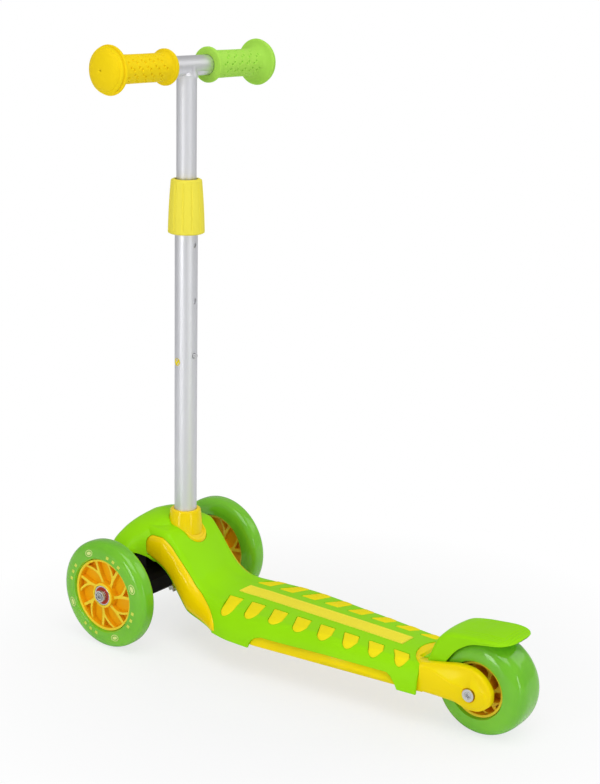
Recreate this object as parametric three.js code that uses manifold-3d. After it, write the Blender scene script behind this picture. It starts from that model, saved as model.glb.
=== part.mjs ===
// Three wheel kids scooter: a lean-to-steer scooter with two front wheels, one rear wheel,
// a foot brake over the rear wheel and a height adjustable T handlebar.
// Millimetres, +Z up. The front of the scooter faces -Y and the rider's left is +X.
// The origin is on the ground, in the middle of the scooter's length and width.
import * as THREE from 'three';
import { mergeVertices } from 'three/addons/utils/BufferGeometryUtils.js';
import Module from 'manifold-3d';

const wasm = await Module();
wasm.setup();

// Fits and cutting
const fit = 0.3;
const overrun = 4;

// Wheels
const wheelbase = 422;
const track = 187;
const frontWheelRadius = 60;
const frontTyreWidth = 24;
const frontCoreRadius = 40;
const frontCoreWidth = 19;
const rearWheelRadius = 50;
const rearTyreWidth = 48;
const rearCoreRadius = 28.5;
const rearCoreWidth = 42;
const rimThickness = 2.6;
const hubThickness = 2.4;
const spokeWidth = 3.4;
const spokeCount = 7;
const frontHubWidth = 23;
const rearHubWidth = 45;
const webShare = 0.72;

// Bearings and axles
const bearingRadius = 11;
const bearingBore = 4;
const bearingWidth = 7;
const bearingSealRadius = 9.6;
const bearingInnerRaceRadius = 6;
const bearingSealDepth = 0.5;
const bearingEndInset = 0.3;
const spacerRadius = 5.8;
const axleHeadRadius = 6.4;
const axleHeadHeight = 4.2;
const axleSocketRadius = 3;
const axleSocketDepth = 2.4;

// Stem and handlebar
const stemBehindAxle = 27.3;
const lowerTubeRadius = 12.25;
const tubeWall = 1.3;
const upperTubeRadius = lowerTubeRadius - tubeWall - fit;
const lowerTubeBottom = 92;
const lowerTubeTop = 462;
const crossbarHeight = 620;
const crossbarRadius = 10.5;
const gripHoleDepth = 88;
const bareBarHalf = 31;
const heightPitch = 60;
const lowestHoleHeight = 314.5;
const heightHoleRadius = 3.1;
const heightHoleCount = 3;
const snapStep = 0.35;
const upperTubeBelowButton = 34;

// Height collar
const collarBottom = 446.5;
const collarTop = 504;
const collarBottomRadius = 19.6;
const collarTopRadius = 16.4;
const collarFluteCount = 12;
const collarFluteDepth = 0.9;
const collarBoreRadius = 15;
const collarLip = 3;

// Body envelope: stations from the stem to the rear fork
const deckTop = 67;
const deckHalfWidth = 63;
const deckRearHalfWidth = 42;
const deckFootHeight = 34;
const coverWall = 2.4;
const coverEnd = 357;
const forkRootEnd = 368;

// Materials
const finish = (color, roughness, metalness) =>
  new THREE.MeshStandardMaterial({ color, roughness, metalness });
const greenPlastic = finish(0x9bda28, 0.35, 0);
const yellowPlastic = finish(0xf2d810, 0.35, 0);
const padRubber = finish(0xf5e425, 0.6, 0);
const greenRubber = finish(0xa0da50, 0.65, 0);
const tyreGreen = finish(0x6cb822, 0.2, 0);
const coreYellow = finish(0xf0c020, 0.4, 0);
const blackPlastic = finish(0x0c080a, 0.5, 0);
const steel = finish(0xc8c8cc, 0.25, 1);
const bearingSteel = finish(0x9f4636, 0.45, 0.3);

const scooter = new THREE.Group();
scooter.position.y = -(wheelbase + rearWheelRadius - frontWheelRadius) / 2;

// Geometry helpers
function volumeOf(vertices, triangles) {
  const [a, b, c] = [new THREE.Vector3(), new THREE.Vector3(), new THREE.Vector3()];
  let volume = 0;
  for (let i = 0; i < triangles.length; i += 3) {
    a.fromArray(vertices, triangles[i] * 3);
    b.fromArray(vertices, triangles[i + 1] * 3);
    c.fromArray(vertices, triangles[i + 2] * 3);
    volume += a.dot(b.cross(c));
  }
  return volume;
}

function solid(source) {
  const geometry = source.clone();
  geometry.deleteAttribute('normal');
  geometry.deleteAttribute('uv');
  const merged = mergeVertices(geometry, 1e-4);
  const vertProperties = new Float32Array(merged.attributes.position.array);
  const all = Array.from(merged.index.array);
  let kept = [];
  for (let i = 0; i < all.length; i += 3) {
    const [p, q, r] = all.slice(i, i + 3);
    if (p !== q && q !== r && r !== p) kept.push(p, q, r);
  }
  if (volumeOf(vertProperties, kept) < 0) kept = kept.reverse();
  const triVerts = new Uint32Array(kept);
  return new wasm.Manifold(new wasm.Mesh({ numProp: 3, vertProperties, triVerts }));
}

function geometryOf(body) {
  const mesh = body.getMesh();
  const geometry = new THREE.BufferGeometry();
  geometry.setAttribute('position', new THREE.BufferAttribute(mesh.vertProperties.slice(), 3));
  geometry.setIndex(new THREE.BufferAttribute(mesh.triVerts.slice(), 1));
  geometry.computeVertexNormals();
  return geometry;
}

// Edges shorter than this are closed up after the cuts
const shortEdge = 0.08;

function addPart(name, body, material) {
  const mesh = new THREE.Mesh(geometryOf(body.asOriginal().simplify(shortEdge)), material);
  mesh.name = name;
  scooter.add(mesh);
  return mesh;
}

const union = (...bodies) => bodies.reduce((sum, body) => sum.add(body));
const cut = (body, ...tools) => tools.reduce((rest, tool) => rest.subtract(tool), body);

function cylinderX(radius, fromX, toX, y, z, sides = 24) {
  const geometry = new THREE.CylinderGeometry(radius, radius, toX - fromX, sides);
  geometry.rotateZ(Math.PI / 2);
  geometry.translate((fromX + toX) / 2, y, z);
  return solid(geometry);
}

function cylinderZ(radius, fromZ, toZ, x, y, sides = 28) {
  const geometry = new THREE.CylinderGeometry(radius, radius, toZ - fromZ, sides);
  geometry.rotateX(Math.PI / 2);
  geometry.translate(x, y, (fromZ + toZ) / 2);
  return solid(geometry);
}

function cylinderY(radius, fromY, toY, x, z, sides = 16) {
  const geometry = new THREE.CylinderGeometry(radius, radius, toY - fromY, sides);
  geometry.translate(x, (fromY + toY) / 2, z);
  return solid(geometry);
}

function block(fromX, toX, fromY, toY, fromZ, toZ) {
  const geometry = new THREE.BoxGeometry(toX - fromX, toY - fromY, toZ - fromZ);
  geometry.translate((fromX + toX) / 2, (fromY + toY) / 2, (fromZ + toZ) / 2);
  return solid(geometry);
}

// A closed profile of [radius, place along the axis] points, turned about Z
function turned(profile, sides) {
  const points = profile.map(([radius, along]) => new THREE.Vector2(radius, along));
  points.push(points[0].clone());
  const geometry = new THREE.LatheGeometry(points, sides);
  geometry.rotateX(Math.PI / 2);
  return solid(geometry);
}

// The same, turned about an axis along X
function turnedX(profile, sides, x, y, z) {
  const points = profile.map(([radius, along]) => new THREE.Vector2(radius, along));
  points.push(points[0].clone());
  const geometry = new THREE.LatheGeometry(points, sides);
  geometry.rotateZ(-Math.PI / 2);
  geometry.translate(x, y, z);
  return solid(geometry);
}

// An outline of [y, z] points, extruded along X
function extrudedX(outline, fromX, toX) {
  const shape = new THREE.Shape(outline.map(([y, z]) => new THREE.Vector2(y, z)));
  const geometry = new THREE.ExtrudeGeometry(shape, { depth: toX - fromX, bevelEnabled: false });
  geometry.applyMatrix4(new THREE.Matrix4().set(0, 0, 1, fromX, 1, 0, 0, 0, 0, 1, 0, 0, 0, 0, 0, 1));
  return solid(geometry);
}

// Rings of points with equal counts, skinned and closed at both ends
function loft(rings) {
  const count = rings[0].length;
  const points = rings.flat();
  const triangles = [];
  for (let ring = 0; ring + 1 < rings.length; ring += 1) {
    for (let i = 0; i < count; i += 1) {
      const a = ring * count + i;
      const b = ring * count + (i + 1) % count;
      triangles.push(a, b, b + count, a, b + count, a + count);
    }
  }
  const last = (rings.length - 1) * count;
  for (const [start, flip] of [[0, true], [last, false]]) {
    const ring = rings[start / count];
    const centre = ring.reduce((sum, p) => sum.add(p), new THREE.Vector3()).divideScalar(count);
    const hub = points.push(centre) - 1;
    for (let i = 0; i < count; i += 1) {
      const next = start + (i + 1) % count;
      if (flip) triangles.push(hub, next, start + i);
      else triangles.push(hub, start + i, next);
    }
  }
  const geometry = new THREE.BufferGeometry();
  geometry.setFromPoints(points);
  geometry.setIndex(triangles);
  return solid(geometry);
}

const degrees = (angle) => angle * Math.PI / 180;
const mix = (a, b, share) => a + (b - a) * share;

// Smooth value between stations given as [place, value, ...]
function between(stations, place, column) {
  const last = stations.length - 1;
  if (place <= stations[0][0]) return stations[0][column];
  if (place >= stations[last][0]) return stations[last][column];
  const i = stations.findIndex((station) => station[0] > place) - 1;
  const share = (place - stations[i][0]) / (stations[i + 1][0] - stations[i][0]);
  const eased = share * share * (3 - 2 * share);
  return mix(stations[i][column], stations[i + 1][column], mix(share, eased, 0.5));
}

// Wheels: profile across the tyre, core with Y spokes, bearings and axle pieces
function tyre(radius, width, coreRadius, coreWidth, sides) {
  const half = width / 2;
  const seat = coreRadius + fit;
  const profile = [[seat, -coreWidth / 2], [seat, coreWidth / 2]];
  const steps = 8;
  for (let i = 0; i <= steps; i += 1) {
    const angle = Math.PI * i / steps;
    const rise = Math.sin(angle) ** 0.75;
    const side = Math.sign(Math.cos(angle)) * Math.abs(Math.cos(angle)) ** 0.6;
    profile.push([mix(seat + fit * 4, radius, rise), half * side]);
  }
  return turnedX(profile.map(([r, along]) => [r, along]), sides, 0, 0, 0);
}

// Openings between the spokes: one inside each fork of a Y, one between neighbours
function spokeOpenings(rimInner, hubOuter) {
  const openings = [];
  const pitch = 2 * Math.PI / spokeCount;
  const arm = pitch / 4;
  const fork = mix(hubOuter, rimInner, 0.35);
  const sweep = (r) => 0.35 * (r - hubOuter) / (rimInner - hubOuter);
  const spread = (r) => arm * Math.max(0, (r - fork) / (rimInner - fork));
  const at = (r, angle) => new THREE.Vector2(r * Math.cos(angle), r * Math.sin(angle));
  const steps = 2;
  for (let k = 0; k < spokeCount; k += 1) {
    const centre = k * pitch;
    const inner = [];
    const outer = [];
    const forkTip = fork + spokeWidth * 1.6;
    for (let i = 0; i <= steps; i += 1) {
      const r = mix(forkTip, rimInner, i / steps);
      const gap = Math.max(0.02, spread(r) - spokeWidth / 2 / r);
      inner.push(at(r, centre + sweep(r) - gap));
      outer.push(at(r, centre + sweep(r) + gap));
    }
    openings.push([...inner, ...outer.reverse()]);
    const left = [];
    const right = [];
    for (let i = 0; i <= steps; i += 1) {
      const r = mix(hubOuter + fit * 2, rimInner, i / steps);
      const half = spokeWidth / 2 / r;
      left.push(at(r, centre + sweep(r) + spread(r) + half));
      right.push(at(r, centre + pitch + sweep(r) - spread(r) - half));
    }
    const arc = [];
    const rimStart = centre + sweep(rimInner) + arm + spokeWidth / 2 / rimInner;
    const rimEnd = centre + pitch + sweep(rimInner) - arm - spokeWidth / 2 / rimInner;
    for (let i = 1; i < steps; i += 1) arc.push(at(rimInner, mix(rimStart, rimEnd, i / steps)));
    openings.push([...left, ...arc, ...right.reverse()]);
  }
  return openings;
}

function wheelCore(radius, width, hubWidth, sides) {
  const rimInner = radius - rimThickness;
  const hubOuter = bearingRadius + fit + hubThickness;
  const half = width / 2;
  const ringInner = rimInner + fit * 2;
  const ring = turnedX([[ringInner, -half], [radius, -half], [radius, half], [ringInner, half]],
    sides, 0, 0, 0);
  const web = new THREE.Shape();
  web.absarc(0, 0, radius - fit * 2, 0, 2 * Math.PI, false);
  for (const opening of spokeOpenings(rimInner, hubOuter)) web.holes.push(new THREE.Path(opening));
  const depth = width * webShare;
  const geometry = new THREE.ExtrudeGeometry(web, {
    depth, bevelEnabled: false, curveSegments: sides / 3,
  });
  geometry.translate(0, 0, -depth / 2);
  geometry.rotateY(Math.PI / 2);
  const hub = cylinderX(hubOuter, -hubWidth / 2, hubWidth / 2, 0, 0, spokeCount * 3);
  const seat = hubWidth / 2 - bearingEndInset - bearingWidth - fit;
  const blank = union(solid(geometry), ring, hub);
  return cut(blank,
    cylinderX(bearingRadius + fit, -hubWidth / 2 - overrun, -seat, 0, 0, 20),
    cylinderX(bearingRadius + fit, seat, hubWidth / 2 + overrun, 0, 0, 20),
    cylinderX(spacerRadius + fit * 4, -hubWidth, hubWidth, 0, 0, 20));
}

function bearing() {
  const half = bearingWidth / 2;
  const sealed = half - bearingSealDepth;
  return turnedX([[bearingBore, -half], [bearingInnerRaceRadius, -half],
    [bearingInnerRaceRadius, -sealed], [bearingSealRadius, -sealed], [bearingSealRadius, -half],
    [bearingRadius, -half], [bearingRadius, half], [bearingBore, half]], 16, 0, 0, 0);
}

function place(body, x, y, z) {
  return body.translate([x, y, z]);
}

function addWheel(name, x, y, z, radius, tyreWidth, coreRadius, coreWidth, hubWidth) {
  addPart(`${name}_tyre`, place(tyre(radius, tyreWidth, coreRadius, coreWidth, 36), x, y, z), tyreGreen);
  addPart(`${name}_core`, place(wheelCore(coreRadius, coreWidth, hubWidth, 36), x, y, z), coreYellow);
  const bearingPlace = hubWidth / 2 - bearingEndInset - bearingWidth / 2;
  for (const [side, word] of [[-1, 'right'], [1, 'left']]) {
    addPart(`${name}_bearing_${word}`, place(side > 0 ? bearing().mirror([1, 0, 0]) : bearing(),
      x + side * bearingPlace, y, z), bearingSteel);
  }
  const spacerHalf = bearingPlace - bearingWidth / 2 - fit;
  const spacer = cut(cylinderX(spacerRadius, -spacerHalf, spacerHalf, 0, 0, 16),
    cylinderX(bearingBore, -hubWidth, hubWidth, 0, 0, 16));
  addPart(`${name}_spacer`, place(spacer, x, y, z), steel);
}

// Body envelope stations: [y, top, half width of the flat top, half width at the foot]
const bodyStations = [
  [4, 118, 10, 44], [30, 118, 10, 43], [46, 111, 10, 42], [60, 103, 11, 43], [75, 94, 13, 45],
  [90, 85, 18, 49], [105, 77, 25, 54], [120, 71.5, 33, 59], [145, 68, 39, deckHalfWidth],
  [175, deckTop, 42, deckHalfWidth], [260, deckTop, 37, 53], [coverEnd, 66, 30, deckRearHalfWidth],
];
const shoulderSteps = 5;
const topCrown = 2;
const neckSquareShare = 0.7;
const neckEnd = 75;
const deckStart = 140;

function bodySection(y, inset, foot) {
  const top = between(bodyStations, y, 1) - inset;
  const flat = between(bodyStations, y, 2);
  const wide = between(bodyStations, y, 3) - inset;
  const low = deckFootHeight;
  const along = THREE.MathUtils.clamp((y - neckEnd) / (deckStart - neckEnd), 0, 1);
  const power = mix(neckSquareShare, 1, along);
  const shoulder = top - topCrown - low;
  const right = [];
  for (let i = 0; i <= shoulderSteps; i += 1) {
    const angle = Math.PI / 2 * i / shoulderSteps;
    right.push([flat + (wide - flat) * Math.sin(angle) ** power,
      low + shoulder * Math.max(0, Math.cos(angle)) ** power]);
  }
  right.push([wide, foot]);
  const ring = [[0, top], [flat / 2, top - topCrown / 4], ...right];
  const left = ring.slice(1).reverse().map(([x, z]) => [-x, z]);
  return [...ring, ...left].map(([x, z]) => new THREE.Vector3(x, y, z));
}

function bodyLoft(inset, foot, fromY = bodyStations[0][0], toY = coverEnd) {
  const rings = [];
  const middle = bodyStations.map((station) => station[0]).filter((y) => y > fromY && y < toY);
  for (const y of [fromY, ...middle, toY]) rings.push(bodySection(y, inset, foot));
  return loft(rings);
}

// Hood stations across the scooter: [x, crest, front, rear, lower edge]
const hoodStations = [
  [0, 137, -41, 45, 66], [18, 136, -41, 44, 67], [34, 132, -39, 38, 74], [46, 127, -37, 31, 90],
  [56, 121, -33, 25, 96], [64, 113, -27, 18, 99], [68, 107, -21, 12, 101],
];
const hoodSteps = 10;

function hoodLoft(inset, drop) {
  const sides = [...hoodStations.slice(1).reverse().map((station) => -station[0]),
    ...hoodStations.map((station) => station[0])];
  const last = hoodStations[hoodStations.length - 1][0];
  const rings = sides.map((x) => {
    const at = Math.abs(x);
    const [crest, front, rear, low] = [1, 2, 3, 4].map((column) => between(hoodStations, at, column));
    const base = low - drop;
    const points = [];
    for (let i = 0; i <= hoodSteps; i += 1) {
      const angle = Math.PI * i / hoodSteps;
      const along = Math.sign(Math.cos(angle)) * Math.abs(Math.cos(angle)) ** 0.8;
      const middle = (front + rear) / 2;
      const half = (rear - front) / 2 - inset;
      points.push([middle + half * along, low + (crest - inset - low) * Math.sin(angle) ** 0.8]);
    }
    if (drop > 0) points.push([points[hoodSteps][0], base], [points[0][0], base]);
    const shrunk = x - Math.sign(x) * inset * (at / last);
    return points.map(([y, z]) => new THREE.Vector3(shrunk, y, z));
  });
  return loft(rings);
}

// Side band and wheel arch, drawn as [y, z] points seen from the side
const bandLower = [[6, 90], [17, 88], [27, 84], [36, 79], [45, 72.5], [55, 63], [64, 55], [73, 48],
  [84, 44], [96, 41], [106, 38], [115, 34]];
const bandUpper = [[120, 34], [119, 42], [115, 50], [106.5, 58.5], [94.5, 67], [80, 76.5], [66, 86],
  [52, 96], [40, 103], [28, 107.5], [17, 109], [9, 106.5], [5, 99]];
const bandInnerEdge = 24;
const bandProud = 2.2;
const bandSink = 0.9;
const archMargin = 1.2;

const below = deckFootHeight - overrun * 3;
const archOutline = [[bodyStations[0][0] - overrun, below], [bodyStations[0][0] - overrun, bandLower[0][1]],
  ...bandLower.map(([y, z]) => [y, z - archMargin]), [bandLower[11][0], below]];
const wide = deckHalfWidth + overrun * 4;

// Stem collar: rim round the stem and a tongue down its back
const collarRimRadius = 17;
const socketRadius = 16.6;
const socketTop = 119;
const socketBottom = 86;
const rimTop = 139;
const tongueBottom = 106;
const tongueHalfWidth = 12.5;
const tongueBack = 47.5;

function collarBlank(grow) {
  const outline = new THREE.Shape();
  const half = tongueHalfWidth + grow;
  outline.moveTo(-half, rimTop - overrun);
  outline.lineTo(-half, tongueBottom + half);
  outline.absarc(0, tongueBottom + tongueHalfWidth, half, Math.PI, 2 * Math.PI, false);
  outline.lineTo(half, rimTop - overrun);
  const depth = tongueBack + grow - stemBehindAxle;
  const geometry = new THREE.ExtrudeGeometry(outline, { depth, bevelEnabled: false, curveSegments: 10 });
  geometry.rotateX(Math.PI / 2);
  geometry.translate(0, tongueBack + grow, 0);
  const rim = turned([[0, socketTop + fit - grow], [collarRimRadius + grow, socketTop + fit - grow],
    [collarRimRadius + grow, rimTop - 2], [collarRimRadius - 2 + grow, rimTop], [0, rimTop + 0.5]], 32);
  return union(solid(geometry), place(rim, 0, stemBehindAxle, 0));
}

function addStemCollar() {
  const clear = cylinderZ(socketRadius + fit, 0, socketTop + fit, 0, stemBehindAxle);
  const bore = cylinderZ(lowerTubeRadius + fit, 0, rimTop + overrun, 0, stemBehindAxle);
  addPart('stem_collar', cut(collarBlank(0), clear, bore), yellowPlastic);
}

// Windows of the deck: each narrows outwards to a round end and sweeps back
const windowCount = 8;
const firstWindow = 117;
const windowPitch = 31.1;
const windowInnerEdge = 21;
const windowHalfLength = 8;
const windowTipRadius = 5;
const windowTipShare = 0.42;
const stripHalfWidth = 10;
const stripFront = 112;
const stripBack = 321;

function windowPrism(index, side, shrink) {
  const y = firstWindow + index * windowPitch;
  const share = index / (windowCount - 1);
  const tip = mix(50, 36, share) - windowTipRadius;
  const sweep = mix(9, 4, share);
  const half = windowHalfLength - shrink;
  const inner = windowInnerEdge + shrink;
  const radius = windowTipRadius - shrink;
  const shape = new THREE.Shape();
  const turn = Math.PI * windowTipShare;
  shape.moveTo(inner, y - half);
  shape.lineTo(tip + radius * Math.cos(turn), y + sweep - radius * Math.sin(turn));
  shape.absarc(tip, y + sweep, radius, -turn, turn, false);
  shape.lineTo(inner, y + half);
  const depth = deckTop;
  const geometry = new THREE.ExtrudeGeometry(shape, { depth, bevelEnabled: false, curveSegments: 3 });
  geometry.translate(0, 0, deckFootHeight + overrun);
  const prism = solid(geometry);
  return side > 0 ? prism : prism.mirror([1, 0, 0]);
}

function eachWindow(shrink) {
  const prisms = [];
  for (let index = 0; index < windowCount; index += 1) {
    prisms.push(windowPrism(index, 1, shrink), windowPrism(index, -1, shrink));
  }
  return union(...prisms);
}

const padPlateTop = 61;
const padPlateBottom = 58.3;
const trayTop = 58;
const trayPlate = 5;
const bossRadius = 3.6;
const screwRadius = 1.8;
const screwHeadRadius = 3.4;
const screwPlaces = [[44, 166], [-44, 166], [30, 320], [-30, 320]];
const rearArcRadius = 38;
const rearArcFront = 347;

function rearArc(grow, fromZ, toZ) {
  return cylinderZ(rearArcRadius + grow, fromZ, toZ, 0, rearArcFront + rearArcRadius, 28);
}

function addCover() {
  const outer = union(cut(bodyLoft(0, deckFootHeight), extrudedX(archOutline, -wide, wide)),
    hoodLoft(0, 0));
  const inner = union(bodyLoft(coverWall, below, bodyStations[0][0] + coverWall, coverEnd + overrun),
    hoodLoft(coverWall, overrun * 3));
  const skirt = extrudedX([[178, below], [190, 48], [337, 48], [347, below]], -wide, wide);
  const seat = cut(bodyLoft(-overrun, below), bodyLoft(1.2 + fit, below)).intersect(block(
    -stripHalfWidth - fit, stripHalfWidth + fit, stripFront - fit, stripBack + fit, 0, deckTop * 2));
  const bands = [];
  for (const side of [-1, 1]) bands.push(sideBand(side, fit));
  const bosses = union(...screwPlaces.map(([x, y]) => cylinderZ(bossRadius, trayTop + fit, 64, x, y, 14)));
  const bores = screwPlaces.map(([x, y]) => cylinderZ(screwRadius + fit, below, 62.5, x, y, 12));
  const socketRoom = cylinderZ(socketRadius + fit, below, socketTop + fit * 2, 0, stemBehindAxle);
  const shell = cut(outer, inner, skirt, seat, eachWindow(0), ...bands, collarBlank(fit),
    rearArc(0, below, deckTop * 2), socketRoom);
  const inside = bodyLoft(coverWall / 2, below);
  addPart('deck_cover', cut(union(shell, bosses.intersect(inside)), ...bores), greenPlastic);
}

// Bulging band on the neck's side; grow widens it for the seat cut into the cover
function sideBand(side, grow) {
  const margin = fit - grow;
  const edge = [...bandLower, ...bandUpper];
  const [middleY, middleZ] = [0, 1].map((axis) => edge.reduce((sum, p) => sum + p[axis], 0) / edge.length);
  const drawn = edge.map(([y, z]) => {
    const pull = margin / Math.hypot(y - middleY, z - middleZ);
    return [mix(y, middleY, pull), mix(z, middleZ, pull)];
  });
  const outline = extrudedX(drawn, side > 0 ? bandInnerEdge : -wide, side > 0 ? wide : -bandInnerEdge);
  const shell = cut(bodyLoft(-bandProud - grow * 8, deckFootHeight - grow, bodyStations[0][0] - overrun),
    bodyLoft(bandSink + grow, below, bodyStations[0][0] - overrun * 2));
  return shell.intersect(outline);
}

function addTrims() {
  for (const [side, word] of [[1, 'left'], [-1, 'right']]) {
    addPart(`side_trim_${word}`, sideBand(side, 0), yellowPlastic);
  }
}

// Kingpin axis: through the axle's middle, leaning forward going up
const kingpinLean = degrees(30);
const kingpinRadius = 4;
const frontAxleHeight = frontWheelRadius;
const towerTop = 30;
const bushingHeight = 5.4;
const bossBottom = towerTop + bushingHeight + fit * 2;
const bossTop = 50;
const bossOuterRadius = 13;

// Moves a body drawn upright round the kingpin axis (u up, v back) into place
function alongKingpin(body) {
  return body.rotate([kingpinLean * 180 / Math.PI, 0, 0]).translate([0, 0, frontAxleHeight]);
}

// Front truck: axle beam with round ends, and a tower that holds the kingpin and the springs
const beamHalfDepth = 13;
const beamTop = 14;
const beamBottom = 19;
const beamEnd = 62;
const spindleRadius = 12;
const spindleEnd = track / 2 - frontHubWidth / 2 + bearingEndInset - fit;
const towerFootHalf = 40;
const towerHeadHalf = 33;
const towerFront = 9.5;
const towerBack = 12;
const springPlace = 24;
const springPocketRadius = 6.2;
const springPocketDepth = 4;
const springHeight = 19;
const axleRadius = bearingBore - fit;

function beamRing(x, halfDepth, top, bottom) {
  const corner = 0.45;
  const points = [];
  const steps = 16;
  for (let i = 0; i < steps; i += 1) {
    const angle = 2 * Math.PI * (i + 0.5) / steps;
    const [c, s] = [Math.cos(angle), Math.sin(angle)];
    const y = halfDepth * Math.sign(c) * Math.abs(c) ** corner;
    const z = (s > 0 ? top : bottom) * Math.sign(s) * Math.abs(s) ** corner;
    points.push(new THREE.Vector3(x, y, frontAxleHeight + z));
  }
  return points;
}

function addTruck() {
  const beam = loft([-beamEnd, -42, 42, beamEnd].map((x) => beamRing(x, beamHalfDepth,
    Math.abs(x) > 50 ? spindleRadius : beamTop, Math.abs(x) > 50 ? spindleRadius : beamBottom)));
  const spindles = cylinderX(spindleRadius, -spindleEnd + 3, spindleEnd - 3, 0, frontAxleHeight, 20);
  const faces = cylinderX(bearingInnerRaceRadius + 0.5, -spindleEnd, spindleEnd, 0, frontAxleHeight, 20);
  const outline = new THREE.Shape([[-towerFootHalf, -6], [towerFootHalf, -6], [towerFootHalf, 10],
    [towerHeadHalf, towerTop - 3], [towerHeadHalf - 5, towerTop], [-towerHeadHalf + 5, towerTop],
    [-towerHeadHalf, towerTop - 3], [-towerFootHalf, 10]].map(([x, u]) => new THREE.Vector2(x, u)));
  const geometry = new THREE.ExtrudeGeometry(outline, {
    depth: towerFront + towerBack, bevelEnabled: false,
  });
  geometry.rotateX(Math.PI / 2);
  geometry.translate(0, towerBack, 0);
  const pockets = [-springPlace, springPlace].map((x) =>
    cylinderY(springPocketRadius, -towerFront - overrun, -towerFront + springPocketDepth, x, springHeight));
  const tower = alongKingpin(cut(solid(geometry), ...pockets));
  const bore = alongKingpin(cylinderZ(kingpinRadius + fit, -60, 60, 0, 0, 20));
  const nutSeat = alongKingpin(cylinderZ(9, -60, -kingpinNutSeat, 0, 0, 20));
  const axles = [-1, 1].map((side) => cylinderX(axleRadius + fit, Math.min(side * 45, side * 100),
    Math.max(side * 45, side * 100), 0, frontAxleHeight, 16));
  addPart('front_truck', cut(union(beam, spindles, faces, tower), bore, nutSeat, ...axles), blackPlastic);
}

const kingpinNutSeat = 18;
const kingpinNutHeight = 6;
const kingpinNutRadius = 7;
const kingpinHeadRadius = 7;
const kingpinHeadHeight = 3.5;

function addKingpin() {
  const pin = union(cylinderZ(kingpinRadius, -kingpinNutSeat - kingpinNutHeight - 3, bossTop, 0, 0, 20),
    cylinderZ(kingpinHeadRadius, bossTop + fit, bossTop + fit + kingpinHeadHeight, 0, 0, 6),
    cylinderZ(kingpinRadius, bossTop - 1, bossTop + 1, 0, 0, 20));
  addPart('kingpin_bolt', alongKingpin(pin), steel);
  const nut = cut(cylinderZ(kingpinNutRadius, -kingpinNutSeat - kingpinNutHeight, -kingpinNutSeat - fit, 0, 0, 6),
    cylinderZ(kingpinRadius + fit, -60, 60, 0, 0, 20));
  addPart('kingpin_nut', alongKingpin(nut), steel);
  const bushing = cut(cylinderZ(bossOuterRadius - 2, towerTop + fit, bossBottom - fit, 0, 0, 28),
    cylinderZ(kingpinRadius + fit, -60, 60, 0, 0, 20));
  addPart('kingpin_bushing', alongKingpin(bushing), padRubber);
}

// Chassis: stem socket, kingpin boss, spring wall, neck, tray and rear fork
const springWallFront = -22.5;
const springWallBack = -19.5;
const forkInner = 28;
const forkOuter = 36;
const brakePinPlace = [362, 61.4];
const brakePinRadius = 2.2;
const brakePocketHalf = 21;
const axleRecessRadius = 8;
const axleRecessDepth = 2;

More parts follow.
